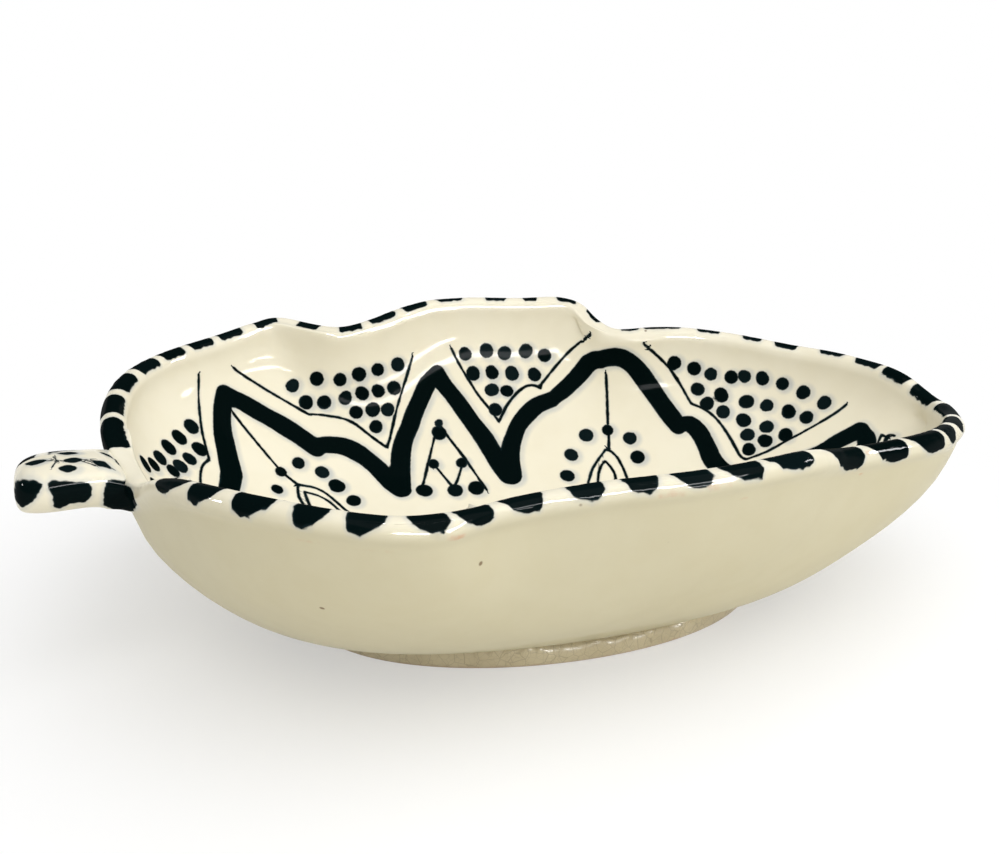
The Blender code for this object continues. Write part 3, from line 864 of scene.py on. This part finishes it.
stemTongue = {
    "levels": 2,
    "swell": 0.3,               # depth of the glaze's soft unevenness, mm
    "lineHalf": 0.2,            # half width of the thin lines, mm
    "penStep": 0.4,
    "seatReach": 0.75,          # what lies closer than this to the body is its seat, mm
    "seatSink": 0.6,            # and is pushed this far into the body, mm
    "blendFrom": -99.0,         # from here to the root its top comes down to the rim, mm
    "blendTo": -90.5,
    "blendDown": 0.4,           # down to this far under it, mm
    "meltFrom": (-101.0, -98.0),        # and what lies near the body from here on melts into it, mm
    "meltReach": (2.0, 5.0),
    "facingUp": -0.1,           # what faces up more than this takes the painting on top
    "facingAside": 0.05,        # and what faces aside more than this the patches
    "petalLoad": 0.8,
    "petalEnds": 0.3,           # half width, mm
    "tailLoad": 0.5,
    "patchGrown": 0.25,         # the patches are this much wider than their corners say, mm
    "patchWaves": (0.1, 3.1, 4.3),      # size and the two paces of their edges' unevenness, mm
    "topSpray": [               # thin lines on top
        [[(-110.5, -1.4), (-108.4, -2.0), (-106.7, -2.4)]],
        [[(-108.6, 1.0), (-108.6, -2.5), (-109.4, -5.1)]],
        [[(-109.0, 0.5), (-108.0, -2.7)]],
        [[(-103.6, -2.7), (-101.2, -2.7)]],
        [[(-103.5, -3.3), (-100.7, -5.8)]],
        [[(-103.2, -2.6), (-100.6, -4.2)]],
    ],
    "tail": [(-98.2, -5.9, 0.3), (-97.4, -6.2, 0.2), (-96.6, -6.5, 0.1)],
    "petals": [                 # three points along each petal and its greatest half width
        ((-114.7, 0.5), (-112.6, -1.0), (-110.5, -0.9), 1.6),
        ((-107.9, 2.9), (-106.0, 2.4), (-104.0, 1.9), 1.4),
        ((-106.9, -2.4), (-105.1, -2.5), (-103.3, -2.7), 1.5),
        ((-108.0, -5.9), (-106.3, -6.1), (-104.6, -6.2), 1.35),
        ((-100.9, -3.8), (-99.4, -5.2), (-97.8, -6.4), 1.2),
        ((-99.2, 2.1), (-97.9, 1.7), (-96.6, 1.3), 1.1),
    ],
    # patches on the near side, corners as (x, z)
    "nearPatches": [
        [(-116.6, 45.5), (-115.5, 46.2), (-113.3, 46.5), (-111.8, 46.0), (-112.4, 44.9), (-114.0, 42.8),
         (-116.1, 41.1), (-117.2, 42.1), (-117.2, 43.8)],
        [(-110.3, 46.0), (-109.8, 46.4), (-106.5, 45.9), (-102.6, 45.2), (-102.1, 44.3), (-102.4, 42.6),
         (-103.5, 41.4), (-106.5, 41.6), (-108.6, 40.6), (-109.6, 41.1), (-109.6, 43.8), (-110.3, 45.2)],
        [(-98.8, 44.9), (-98.2, 45.3), (-96.2, 44.8), (-93.2, 44.2), (-91.0, 43.6), (-90.4, 41.0),
         (-93.0, 38.0), (-95.9, 37.2), (-97.6, 38.2), (-99.7, 40.1), (-99.4, 43.0)],
    ],
    # and on the far side, which can't be seen
    "farPatches": [
        [(-116.8, 45.0), (-116.0, 47.0), (-114.6, 48.3), (-112.2, 47.6), (-113.0, 44.6), (-115.0, 42.0),
         (-116.4, 42.0)],
        [(-109.8, 48.2), (-104.0, 47.8), (-102.6, 45.5), (-103.2, 42.0), (-108.4, 41.2), (-109.9, 43.5)],
        [(-98.9, 46.6), (-93.0, 46.0), (-91.6, 42.0), (-94.0, 38.6), (-98.0, 39.6), (-99.3, 42.8)],
    ],
}


def makeStem(tree):
    d = stemTongue
    piece = quadCopy("leaf_stem", "stemTongue")
    subdivideSurface(piece, d["levels"])
    points = places(piece)
    for number, point in enumerate(points):
        # its top comes down to the rim at the root
        share = float(rising(point[0], d["blendFrom"], d["blendTo"]))
        if share > 0:
            under = loweredOnto(tree, point[0], point[1])
            if under is not None and point[2] > under[2] - d["blendDown"]:
                points[number, 2] -= share * (point[2] - under[2] + d["blendDown"])
        found, facing, _, gap = tree.find_nearest(Vector(points[number] * mm))
        seat = np.array(found - facing * d["seatSink"] * mm) / mm
        melt = float(rising(point[0], *d["meltFrom"]) * (1 - rising(gap / mm, *d["meltReach"])))
        points[number] += melt * (seat - points[number])
        if gap < d["seatReach"] * mm and (Vector(points[number] * mm) - found).dot(facing) >= 0:
            points[number] = seat
    setPlaces(piece, points)
    return piece


def paintStem(piece):
    d = stemTongue
    dice = random.Random(painting["seed"] + 1)
    tree = BVHTree.FromObject(piece, bpy.context.evaluated_depsgraph_get())
    glaze = Glaze(piece)
    facing = normals(piece)
    upper = facing[:, 2] > d["facingUp"]
    for path in d["topSpray"]:
        pen(glaze, tree, path, upper, d["penStep"])
    brush(glaze, tree, d["tail"], d["tailLoad"], upper, dice)
    for *line, half in d["petals"]:
        widths = (d["petalEnds"], half, d["petalEnds"])
        spots = [(*place, width) for place, width in zip(line, widths)]
        brush(glaze, tree, spots, d["petalLoad"], upper, dice)
    size, pace, otherPace = d["patchWaves"]
    for patches, hand in ((d["nearPatches"], -1), (d["farPatches"], 1)):
        index = np.nonzero(facing[:, 1] * hand > d["facingAside"])[0]
        x, z = glaze.points[index, 0], glaze.points[index, 2]
        for corners in patches:
            gap = polygonDistance(x, z, corners) - d["patchGrown"]
            gap += size * np.sin(x * pace) * np.sin(z * otherPace)
            glaze.settle(index, gap, gap + patchBleed, patchLoad)
    glaze.write(piece)
    for name in ("rimDepth", "smearAndShadow"):
        writeValue(piece, name, np.zeros(len(glaze.points)))


stem = makeStem(bodyTree)
paintStem(stem)


# the oval foot ring

footRing = {
    "levels": 1,
    "rise": 0.6,            # its top goes up this far into the body, mm
    "riseFrom": (4.6, 5.6),     # between these heights, mm
}


def makeFoot():
    piece = quadCopy("foot_ring", "footRing")
    subdivideSurface(piece, footRing["levels"])
    points = places(piece)
    points[:, 2] += footRing["rise"] * rising(points[:, 2], *footRing["riseFrom"])
    setPlaces(piece, points)
    return piece


foot = makeFoot()
print("stem and foot made", len(stem.data.vertices), len(foot.data.vertices), "vertices")


# finishes

def makeGroup(name, inputs, outputs):
    group = bpy.data.node_groups.new(name, "ShaderNodeTree")
    for label, kind, value in inputs:
        socket = group.interface.new_socket(label, in_out="INPUT", socket_type=kind)
        if value is not None:
            socket.default_value = value
    for label, kind in outputs:
        group.interface.new_socket(label, in_out="OUTPUT", socket_type=kind)
    return group


class Wiring:
    # short hand for adding nodes to one tree
    def __init__(self, tree):
        self.tree = tree

    def join(self, output, socket):
        self.tree.links.new(output, socket)

    def feed(self, socket, value):
        if isinstance(value, bpy.types.NodeSocket):
            self.join(value, socket)
        else:
            socket.default_value = value

    def add(self, kind, inputs=None, **values):
        node = self.tree.nodes.new(kind)
        for key, value in values.items():
            setattr(node, key, value)
        for label, value in (inputs or {}).items():
            self.feed(node.inputs[label], value)
        return node

    def maths(self, operation, a, b=0.0):
        return self.add("ShaderNodeMath", {0: a, 1: b}, operation=operation).outputs[0]

    def step(self, value, low, high, atLow=0.0, atHigh=1.0):
        # goes smoothly from one value to another
        inputs = {"Value": value, "From Min": low, "From Max": high, "To Min": atLow, "To Max": atHigh}
        return self.add("ShaderNodeMapRange", inputs, interpolation_type="SMOOTHSTEP").outputs["Result"]

    def mixed(self, share, a, b, blend="MIX"):
        inputs = {0: share, 6: a, 7: b}
        return self.add("ShaderNodeMix", inputs, data_type="RGBA", blend_type=blend).outputs[2]

    def noise(self, vector, scale, detail):
        inputs = {"Vector": vector, "Scale": scale, "Detail": detail}
        return self.add("ShaderNodeTexNoise", inputs).outputs["Fac"]

    def swing(self, vector, scale, detail, amount):
        # a noise that swings about zero
        return self.maths("MULTIPLY", self.maths("SUBTRACT", self.noise(vector, scale, detail), 0.5), amount)

    def cells(self, vector, scale, feature):
        return self.add("ShaderNodeTexVoronoi", {"Vector": vector, "Scale": scale}, feature=feature).outputs

    def value(self, name):
        return self.add("ShaderNodeAttribute", attribute_name=name).outputs["Fac"]

    def place(self):
        return self.add("ShaderNodeTexCoord").outputs["Object"]


glazeColours = {
    "cream": (0.862, 0.815, 0.665, 1),         # the glaze over the clay
    "creamDeep": (0.815, 0.758, 0.590, 1),     # where it lies thicker
    "deepShares": (0.5, 0.25),                 # of its broad drift and of its mottle
    "outside": (0.755, 0.74, 0.65, 1),         # painted shade: the cream is multiplied by this on the outside wall, darker as if it lay in shade
    "outsideFrom": (0.5, 6.5),                 # the painted shade comes in between these, mm down from the rim
    "paint": (0.0012, 0.0042, 0.0042, 1),      # the loaded brush
    "paintThin": (0.012, 0.026, 0.030, 1),     # the same where it is thin
    "halo": (0.47, 0.50, 0.50, 1),             # blue-grey bleed round the paint
    "haloStrength": 0.75,
    "haloReach": (-0.2, 1.5),                  # it fades between these distances from the paint, mm
    # pink-brown smears, also used to paint the shadow line under the near band
    "smearAndShadow": (0.62, 0.24, 0.12, 1),
    "smearAndShadowStrength": 0.6,
    "smearAndShadowEdge": (0.2, 1.1),                   # where it shows, of its value with the grain
    "smearAndShadowMask": (0.03, 0.3),                  # and of its value alone
    "speck": (0.16, 0.09, 0.04, 1),
    "speckStrength": 0.8,
    "speckRare": 0.86,                         # the share of places without one
    "speckSize": (0.04, 0.075),                # its dark middle and its end, as shares of a cell
    "speckScale": 110,
    "edge": 0.32,                              # width of the soft edge of the paint, mm
    "loadInside": -0.75,                       # the paint is darker by this for each mm inside its edge
    "loadRange": (0.1, 0.8),
    "relief": 0.03,                            # of the paint, as a share of the swell
    "lineBleed": 0.7,                          # the bleed of a thin outline is this much narrower, mm
    "lineHalf": 0.44,                          # half width of the thin outlines, mm
    "lineMask": (1.05, 1.35),                  # beyond this distance there is no outline, mm
    "roughness": 0.42,                         # of the coloured glaze under the clear coat
    "coat": (0.08, 0.55, 0.24),                # gloss inside, on the rim and outside
    "coatFrom": (-7.5, -3.0, 5.5, 9.0),        # mm down from the rim
    "coatOnPaint": 0.09,                       # share of the gloss that is left on the paint
    "coatRoughness": 0.05,
}
# scale and detail of each noise, then how far it swings or the range of it that counts
glazeGrain = {
    "pressure": (260, 2, 0.5),                 # of the pen, mm
    "ragged": (900, 3, 0.24),                  # edge of the paint, mm
    "drift": (22, 2, 0.3, 0.7),                # broad and fine changes of the cream
    "mottle": (160, 4, 0.35, 0.7),
    "patches": (130, 3, 0.25, 0.75, 0.45, 1.0),     # of the bleed, and its least and greatest strength
    "smearAndShadow": (420, 4, 1.1),
    "load": (240, 3, 0.8),                     # of the brush
    "roughness": (60, 3, 0.1),
    "swell": (38, 2),                          # of the surface
}


def ranged(w, place, scale, detail, low, high, *ends):
    return w.step(w.noise(place, scale, detail), low, high, *ends)


def paintedGlazeGroup():
    d, grain = glazeColours, glazeGrain
    values = {"Distance": noPaint, "Bleed": noPaint, "Strength": 1.0, "Line Offset": noPaint,
              "Line Distance": noPaint, "Line Half": d["lineHalf"], "SmearAndShadow": 0.0, "Rim Depth": farFromRim}
    inputs = [(label, "NodeSocketFloat", value) for label, value in values.items()]
    inputs.append(("Place", "NodeSocketVector", None))
    outputs = [("Color", "NodeSocketColor")]
    outputs += [(label, "NodeSocketFloat") for label in ("Roughness", "Coat", "Height")]
    group = makeGroup("paintedGlaze", inputs, outputs)
    w = Wiring(group)
    given = w.add("NodeGroupInput").outputs
    distance, bleed, strength, offset, lineDistance, lineHalf, smearAndShadow, depth, place = (
        given[n] for n in range(len(inputs)))
    # the thin outlines join the broad paint
    half = w.maths("ADD", lineHalf, w.swing(place, *grain["pressure"]))
    lineGap = w.maths("SUBTRACT", w.maths("ABSOLUTE", offset), half)
    lineGap = w.maths("ADD", lineGap, w.step(lineDistance, *d["lineMask"], 0.0, noPaint))
    ragged = w.swing(place, *grain["ragged"])
    edge = w.maths("ADD", w.maths("MINIMUM", distance, lineGap), ragged)
    paint = w.step(edge, -d["edge"] / 2, d["edge"] / 2, 1.0, 0.0)
    bleed = w.maths("MINIMUM", bleed, w.maths("ADD", lineGap, d["lineBleed"]))
    halo = w.step(w.maths("ADD", bleed, ragged), *d["haloReach"], 1.0, 0.0)
    # the cream: broad drifts and a faint mottle
    drift, mottle = (ranged(w, place, *grain[name]) for name in ("drift", "mottle"))
    driftShare, mottleShare = d["deepShares"]
    deep = w.maths("ADD", w.maths("MULTIPLY", drift, driftShare), w.maths("MULTIPLY", mottle, mottleShare))
    cream = w.mixed(deep, d["cream"], d["creamDeep"])
    # painted shade: the cream is darkened on the outside wall, as if it lay in shade
    outer = w.mixed(1.0, cream, d["outside"], "MULTIPLY")
    cream = w.mixed(w.step(depth, *d["outsideFrom"]), cream, outer)
    halo = w.maths("MULTIPLY", halo, ranged(w, place, *grain["patches"]))
    cream = w.mixed(w.maths("MULTIPLY", halo, d["haloStrength"]), cream, d["halo"])
    # pink-brown smears; where they run thin along the near band's lower edge they are painted shadow
    smudgeAndShadow = w.step(w.maths("ADD", smearAndShadow, w.swing(place, *grain["smearAndShadow"])), *d["smearAndShadowEdge"])
    smudgeAndShadow = w.maths("MULTIPLY", smudgeAndShadow, w.step(smearAndShadow, *d["smearAndShadowMask"]))
    cream = w.mixed(w.maths("MULTIPLY", smudgeAndShadow, d["smearAndShadowStrength"]), cream, d["smearAndShadow"])
    # tiny iron specks
    cells = w.cells(place, d["speckScale"], "F1")
    parts = w.add("ShaderNodeSeparateColor", {0: cells["Color"]})
    rare = w.maths("GREATER_THAN", parts.outputs[0], d["speckRare"])
    speck = w.maths("MULTIPLY", w.step(cells["Distance"], *d["speckSize"], 1.0, 0.0), rare)
    cream = w.mixed(w.maths("MULTIPLY", speck, d["speckStrength"]), cream, d["speck"])
    # the paint: darker where the brush was loaded, thinner at its edge
    scale, detail, amount = grain["load"]
    load = w.maths("MULTIPLY", w.noise(place, scale, detail), amount)
    load = w.maths("ADD", w.maths("MULTIPLY", edge, d["loadInside"]), load)
    load = w.maths("MULTIPLY", w.step(load, *d["loadRange"]), strength)
    color = w.mixed(paint, cream, w.mixed(load, d["paintThin"], d["paint"]))
    scale, detail, amount = grain["roughness"]
    roughness = w.maths("ADD", w.maths("MULTIPLY", w.noise(place, scale, detail), amount), d["roughness"])
    inner, top, low = d["coat"]
    innerFrom, innerTo, lowFrom, lowTo = d["coatFrom"]
    upper = w.step(depth, innerFrom, innerTo, inner, top)
    gloss = w.maths("MINIMUM", upper, w.step(depth, lowFrom, lowTo, top, low))
    coat = w.maths("MULTIPLY", gloss, w.maths("ADD", w.maths("MULTIPLY", paint, d["coatOnPaint"] - 1), 1.0))
    height = w.maths("ADD", w.noise(place, *grain["swell"]), w.maths("MULTIPLY", paint, d["relief"]))
    w.add("NodeGroupOutput", dict(enumerate((color, roughness, coat, height))))
    return group


def startMaterial(name):
    material = bpy.data.materials.new(name)
    material.use_nodes = True
    w = Wiring(material.node_tree)
    shader = material.node_tree.nodes["Principled BSDF"]
    return material, w, shader


def glazedMaterial(name, group, lineHalf, bumpDepth):
    material, w, shader = startMaterial(name)
    distance = w.value(paintLayers[0])
    for layer in paintLayers[1:]:
        distance = w.maths("MINIMUM", distance, w.value(layer))
    attributes = {"Bleed": "paintBleed", "Strength": "paintStrength", "Line Offset": "lineOffset",
                  "Line Distance": "lineDistance", "SmearAndShadow": "smearAndShadow", "Rim Depth": "rimDepth"}
    looks = w.add("ShaderNodeGroup", node_tree=group)
    w.join(distance, looks.inputs["Distance"])
    for label, attribute in attributes.items():
        w.join(w.value(attribute), looks.inputs[label])
    looks.inputs["Line Half"].default_value = lineHalf
    w.join(w.place(), looks.inputs["Place"])
    bump = w.add("ShaderNodeBump", {"Distance": bumpDepth * mm, "Height": looks.outputs["Height"]})
    for label, output in (("Base Color", "Color"), ("Roughness", "Roughness"), ("Coat Weight", "Coat")):
        w.join(looks.outputs[output], shader.inputs[label])
    for label in ("Normal", "Coat Normal"):
        w.join(bump.outputs["Normal"], shader.inputs[label])
    shader.inputs["Coat Roughness"].default_value = glazeColours["coatRoughness"]
    shader.inputs["Specular IOR Level"].default_value = 0.0
    return material


footFinish = {
    "glaze": (0.76, 0.67, 0.46, 1),
    "glazeDeep": (0.65, 0.56, 0.37, 1),
    "tone": (60, 4, 0.3, 0.7),                 # scale and detail of its drift, and the range that counts
    "crackle": (0.36, 0.29, 0.16, 1),
    "cells": ((330, 0.035, 0.5), (620, 0.04, 0.3)),     # scale, width and strength of the crackle
    "warp": (90, 3.0),                         # scale and reach in mm of its waviness
    "crackDepth": 0.06,                        # mm
    "clay": (0.62, 0.45, 0.30, 1),             # bare worn clay where the ring stands
    "wornShare": 0.7,
    "wearHeight": (0.36, 0.9),                 # it fades between these, mm
    "wearSwing": (300, 3, 1.2),                # scale, detail and reach in mm of its edge
    "roughness": (0.3, 0.7),                   # of the glaze and of the clay
    "specular": 0.3,
}


def footMaterial():
    d = footFinish
    material, w, shader = startMaterial("crackledFootGlaze")
    place = w.place()
    scale, reach = d["warp"]
    shake = w.add("ShaderNodeTexNoise", {"Vector": place, "Scale": scale})
    small = w.add("ShaderNodeVectorMath", {0: shake.outputs["Color"], "Scale": reach * mm}, operation="SCALE")
    warp = w.add("ShaderNodeVectorMath", {0: place, 1: small.outputs[0]}, operation="ADD")
    crack = 0.0
    for scale, width, strength in d["cells"]:
        gap = w.cells(warp.outputs[0], scale, "DISTANCE_TO_EDGE")["Distance"]
        crack = w.maths("MAXIMUM", w.step(gap, 0.0, width, strength, 0.0), crack)
    color = w.mixed(ranged(w, place, *d["tone"]), d["glaze"], d["glazeDeep"])
    color = w.mixed(crack, color, d["crackle"])
    up = w.add("ShaderNodeSeparateXYZ", {0: place}).outputs[2]
    scale, detail, reach = d["wearSwing"]
    level = w.maths("ADD", up, w.swing(place, scale, detail, reach * mm))
    worn = w.step(level, *(height * mm for height in d["wearHeight"]), 1.0, 0.0)
    color = w.mixed(w.maths("MULTIPLY", worn, d["wornShare"]), color, d["clay"])
    smooth, rough = d["roughness"]
    w.join(color, shader.inputs["Base Color"])
    w.join(w.maths("ADD", w.maths("MULTIPLY", worn, rough - smooth), smooth), shader.inputs["Roughness"])
    shader.inputs["Specular IOR Level"].default_value = d["specular"]
    bump = w.add("ShaderNodeBump", {"Distance": d["crackDepth"] * mm, "Height": crack}, invert=True)
    w.join(bump.outputs["Normal"], shader.inputs["Normal"])
    return material


glazeGroup = paintedGlazeGroup()
bodyGlaze = glazedMaterial("paintedIvoryGlaze", glazeGroup, glazeColours["lineHalf"], leafBody["swell"])
stemGlaze = glazedMaterial("stemIvoryGlaze", glazeGroup, stemTongue["lineHalf"], stemTongue["swell"])
dress(body, bodyGlaze, "leaf_bowl")
dress(stem, stemGlaze, "leaf_stem")
dress(foot, footMaterial(), "foot_ring")
print("finishes on")


# the photographer's table: floor, light and camera

studio = {
    "floorSize": 30.0,
    "floorRoughness": 0.9,
    "floorSpecular": 0.1,
    "floor": (0.95, 0.95, 0.95, 1),
    "bounce": (0.88, 0.87, 0.84, 1),        # the floor's colour as it lights the dish
    "whiteShare": 0.45,             # of the floor close by
    "whiteFrom": (0.10, 0.19),      # the floor turns into the white background between these distances, m
    "air": 0.56,                    # light from all round
    "horizon": (0.04, 0.28),        # gloss sees the white background up to this height, and dim air above
    "dimAir": 0.08,
    "lamps": [      # place, aim, size, radiance
        ((0.22, -0.48, 1.03), (0, 0, 0.03), (1.70, 1.30), 1.66),
        ((0.25, -1.30, 0.45), (0, 0, 0.03), (1.60, 0.90), 0.45),
    ],
    "glints": [     # these show in the gloss only
        ((0.55, -0.95, 0.50), (0, 0, 0.05), (0.45, 0.07), 160.0),
        ((0.31, -0.95, 0.80), (0, 0, 0.05), (1.35, 0.10), 130.0),
        ((-1.05, 0.36, 0.50), (0, 0, 0.05), (0.14, 0.09), 160.0),
        ((1.10, -0.08, 0.50), (0, 0, 0.05), (0.18, 0.09), 160.0),
    ],
}
view = {
    "azimuth": -19.045, "elevation": 17.766, "roll": 0.597,
    "place": (-0.10852, -0.28993, 0.14424),
    "lens": 49.02, "sensor": 36.0, "clipStart": 0.01,
}


def seenRays(w):
    # the background is white to the camera and to gloss and glass
    rays = w.add("ShaderNodeLightPath").outputs
    return rays["Is Camera Ray"], rays["Is Glossy Ray"], rays["Is Transmission Ray"]


def makeFloor():
    d = studio
    bpy.ops.mesh.primitive_plane_add(size=d["floorSize"], location=(0, 0, 0))
    floor = bpy.context.object
    floor.name = "floor"
    material, w, shader = startMaterial("paleFloor")
    camera, glossy, through = seenRays(w)
    w.join(w.mixed(camera, d["bounce"], d["floor"]), shader.inputs["Base Color"])
    shader.inputs["Roughness"].default_value = d["floorRoughness"]
    shader.inputs["Specular IOR Level"].default_value = d["floorSpecular"]
    away = w.add("ShaderNodeVectorMath", {0: w.place()}, operation="LENGTH").outputs["Value"]
    far = w.step(away, *d["whiteFrom"], d["whiteShare"], 1.0)
    share = w.maths("MULTIPLY", far, w.maths("MAXIMUM", w.maths("MAXIMUM", camera, glossy), through))
    white = w.add("ShaderNodeEmission").outputs[0]
    mix = w.add("ShaderNodeMixShader", {0: share, 1: shader.outputs[0], 2: white})
    w.join(mix.outputs[0], material.node_tree.nodes["Material Output"].inputs["Surface"])
    floor.data.materials.append(material)


def makeLight():
    d = studio
    world = bpy.data.worlds.new("studioAir")
    bpy.context.scene.world = world
    world.use_nodes = True
    w = Wiring(world.node_tree)
    background = world.node_tree.nodes["Background"]
    camera, glossy, through = seenRays(w)
    way = w.add("ShaderNodeTexCoord").outputs["Generated"]
    up = w.add("ShaderNodeSeparateXYZ", {0: way}).outputs[2]
    horizon = w.step(up, *d["horizon"], 1.0, d["dimAir"])
    air = w.mixed(w.maths("MAXIMUM", camera, through), (d["air"],) * 3 + (1,), (1, 1, 1, 1))
    background.inputs["Color"].default_value = (1, 1, 1, 1)
    w.join(w.mixed(glossy, air, horizon), background.inputs["Strength"])
    for number, (place, aim, size, radiance) in enumerate(d["lamps"] + d["glints"]):
        data = bpy.data.lights.new(f"softLamp{number + 1}", "AREA")
        data.shape = "RECTANGLE"
        data.size, data.size_y = size
        data.energy = radiance * size[0] * size[1] * math.pi
        lamp = bpy.data.objects.new(data.name, data)
        bpy.context.scene.collection.objects.link(lamp)
        lamp.visible_diffuse = number < len(d["lamps"])
        lamp.location = place
        lamp.rotation_euler = (Vector(aim) - Vector(place)).to_track_quat("-Z", "Y").to_euler()


def makeCamera():
    a, e, r = (math.radians(view[key]) for key in ("azimuth", "elevation", "roll"))
    back = Vector((math.sin(a) * math.cos(e), -math.cos(a) * math.cos(e), math.sin(e)))
    right = Vector((math.cos(a), math.sin(a), 0.0))
    up = back.cross(right)
    turnedRight = right * math.cos(r) + up * math.sin(r)
    turnedUp = up * math.cos(r) - right * math.sin(r)
    data = bpy.data.cameras.new("photoCamera")
    data.sensor_fit = "HORIZONTAL"
    data.sensor_width = view["sensor"]
    data.lens = view["lens"]
    data.clip_start = view["clipStart"]
    camera = bpy.data.objects.new("photoCamera", data)
    bpy.context.scene.collection.objects.link(camera)
    turn = Matrix((turnedRight, turnedUp, back)).transposed().to_4x4()
    camera.matrix_world = Matrix.Translation(view["place"]) @ turn
    bpy.context.scene.camera = camera


makeFloor()
makeLight()
makeCamera()
bpy.context.scene.view_settings.view_transform = "Standard"
print("studio set")
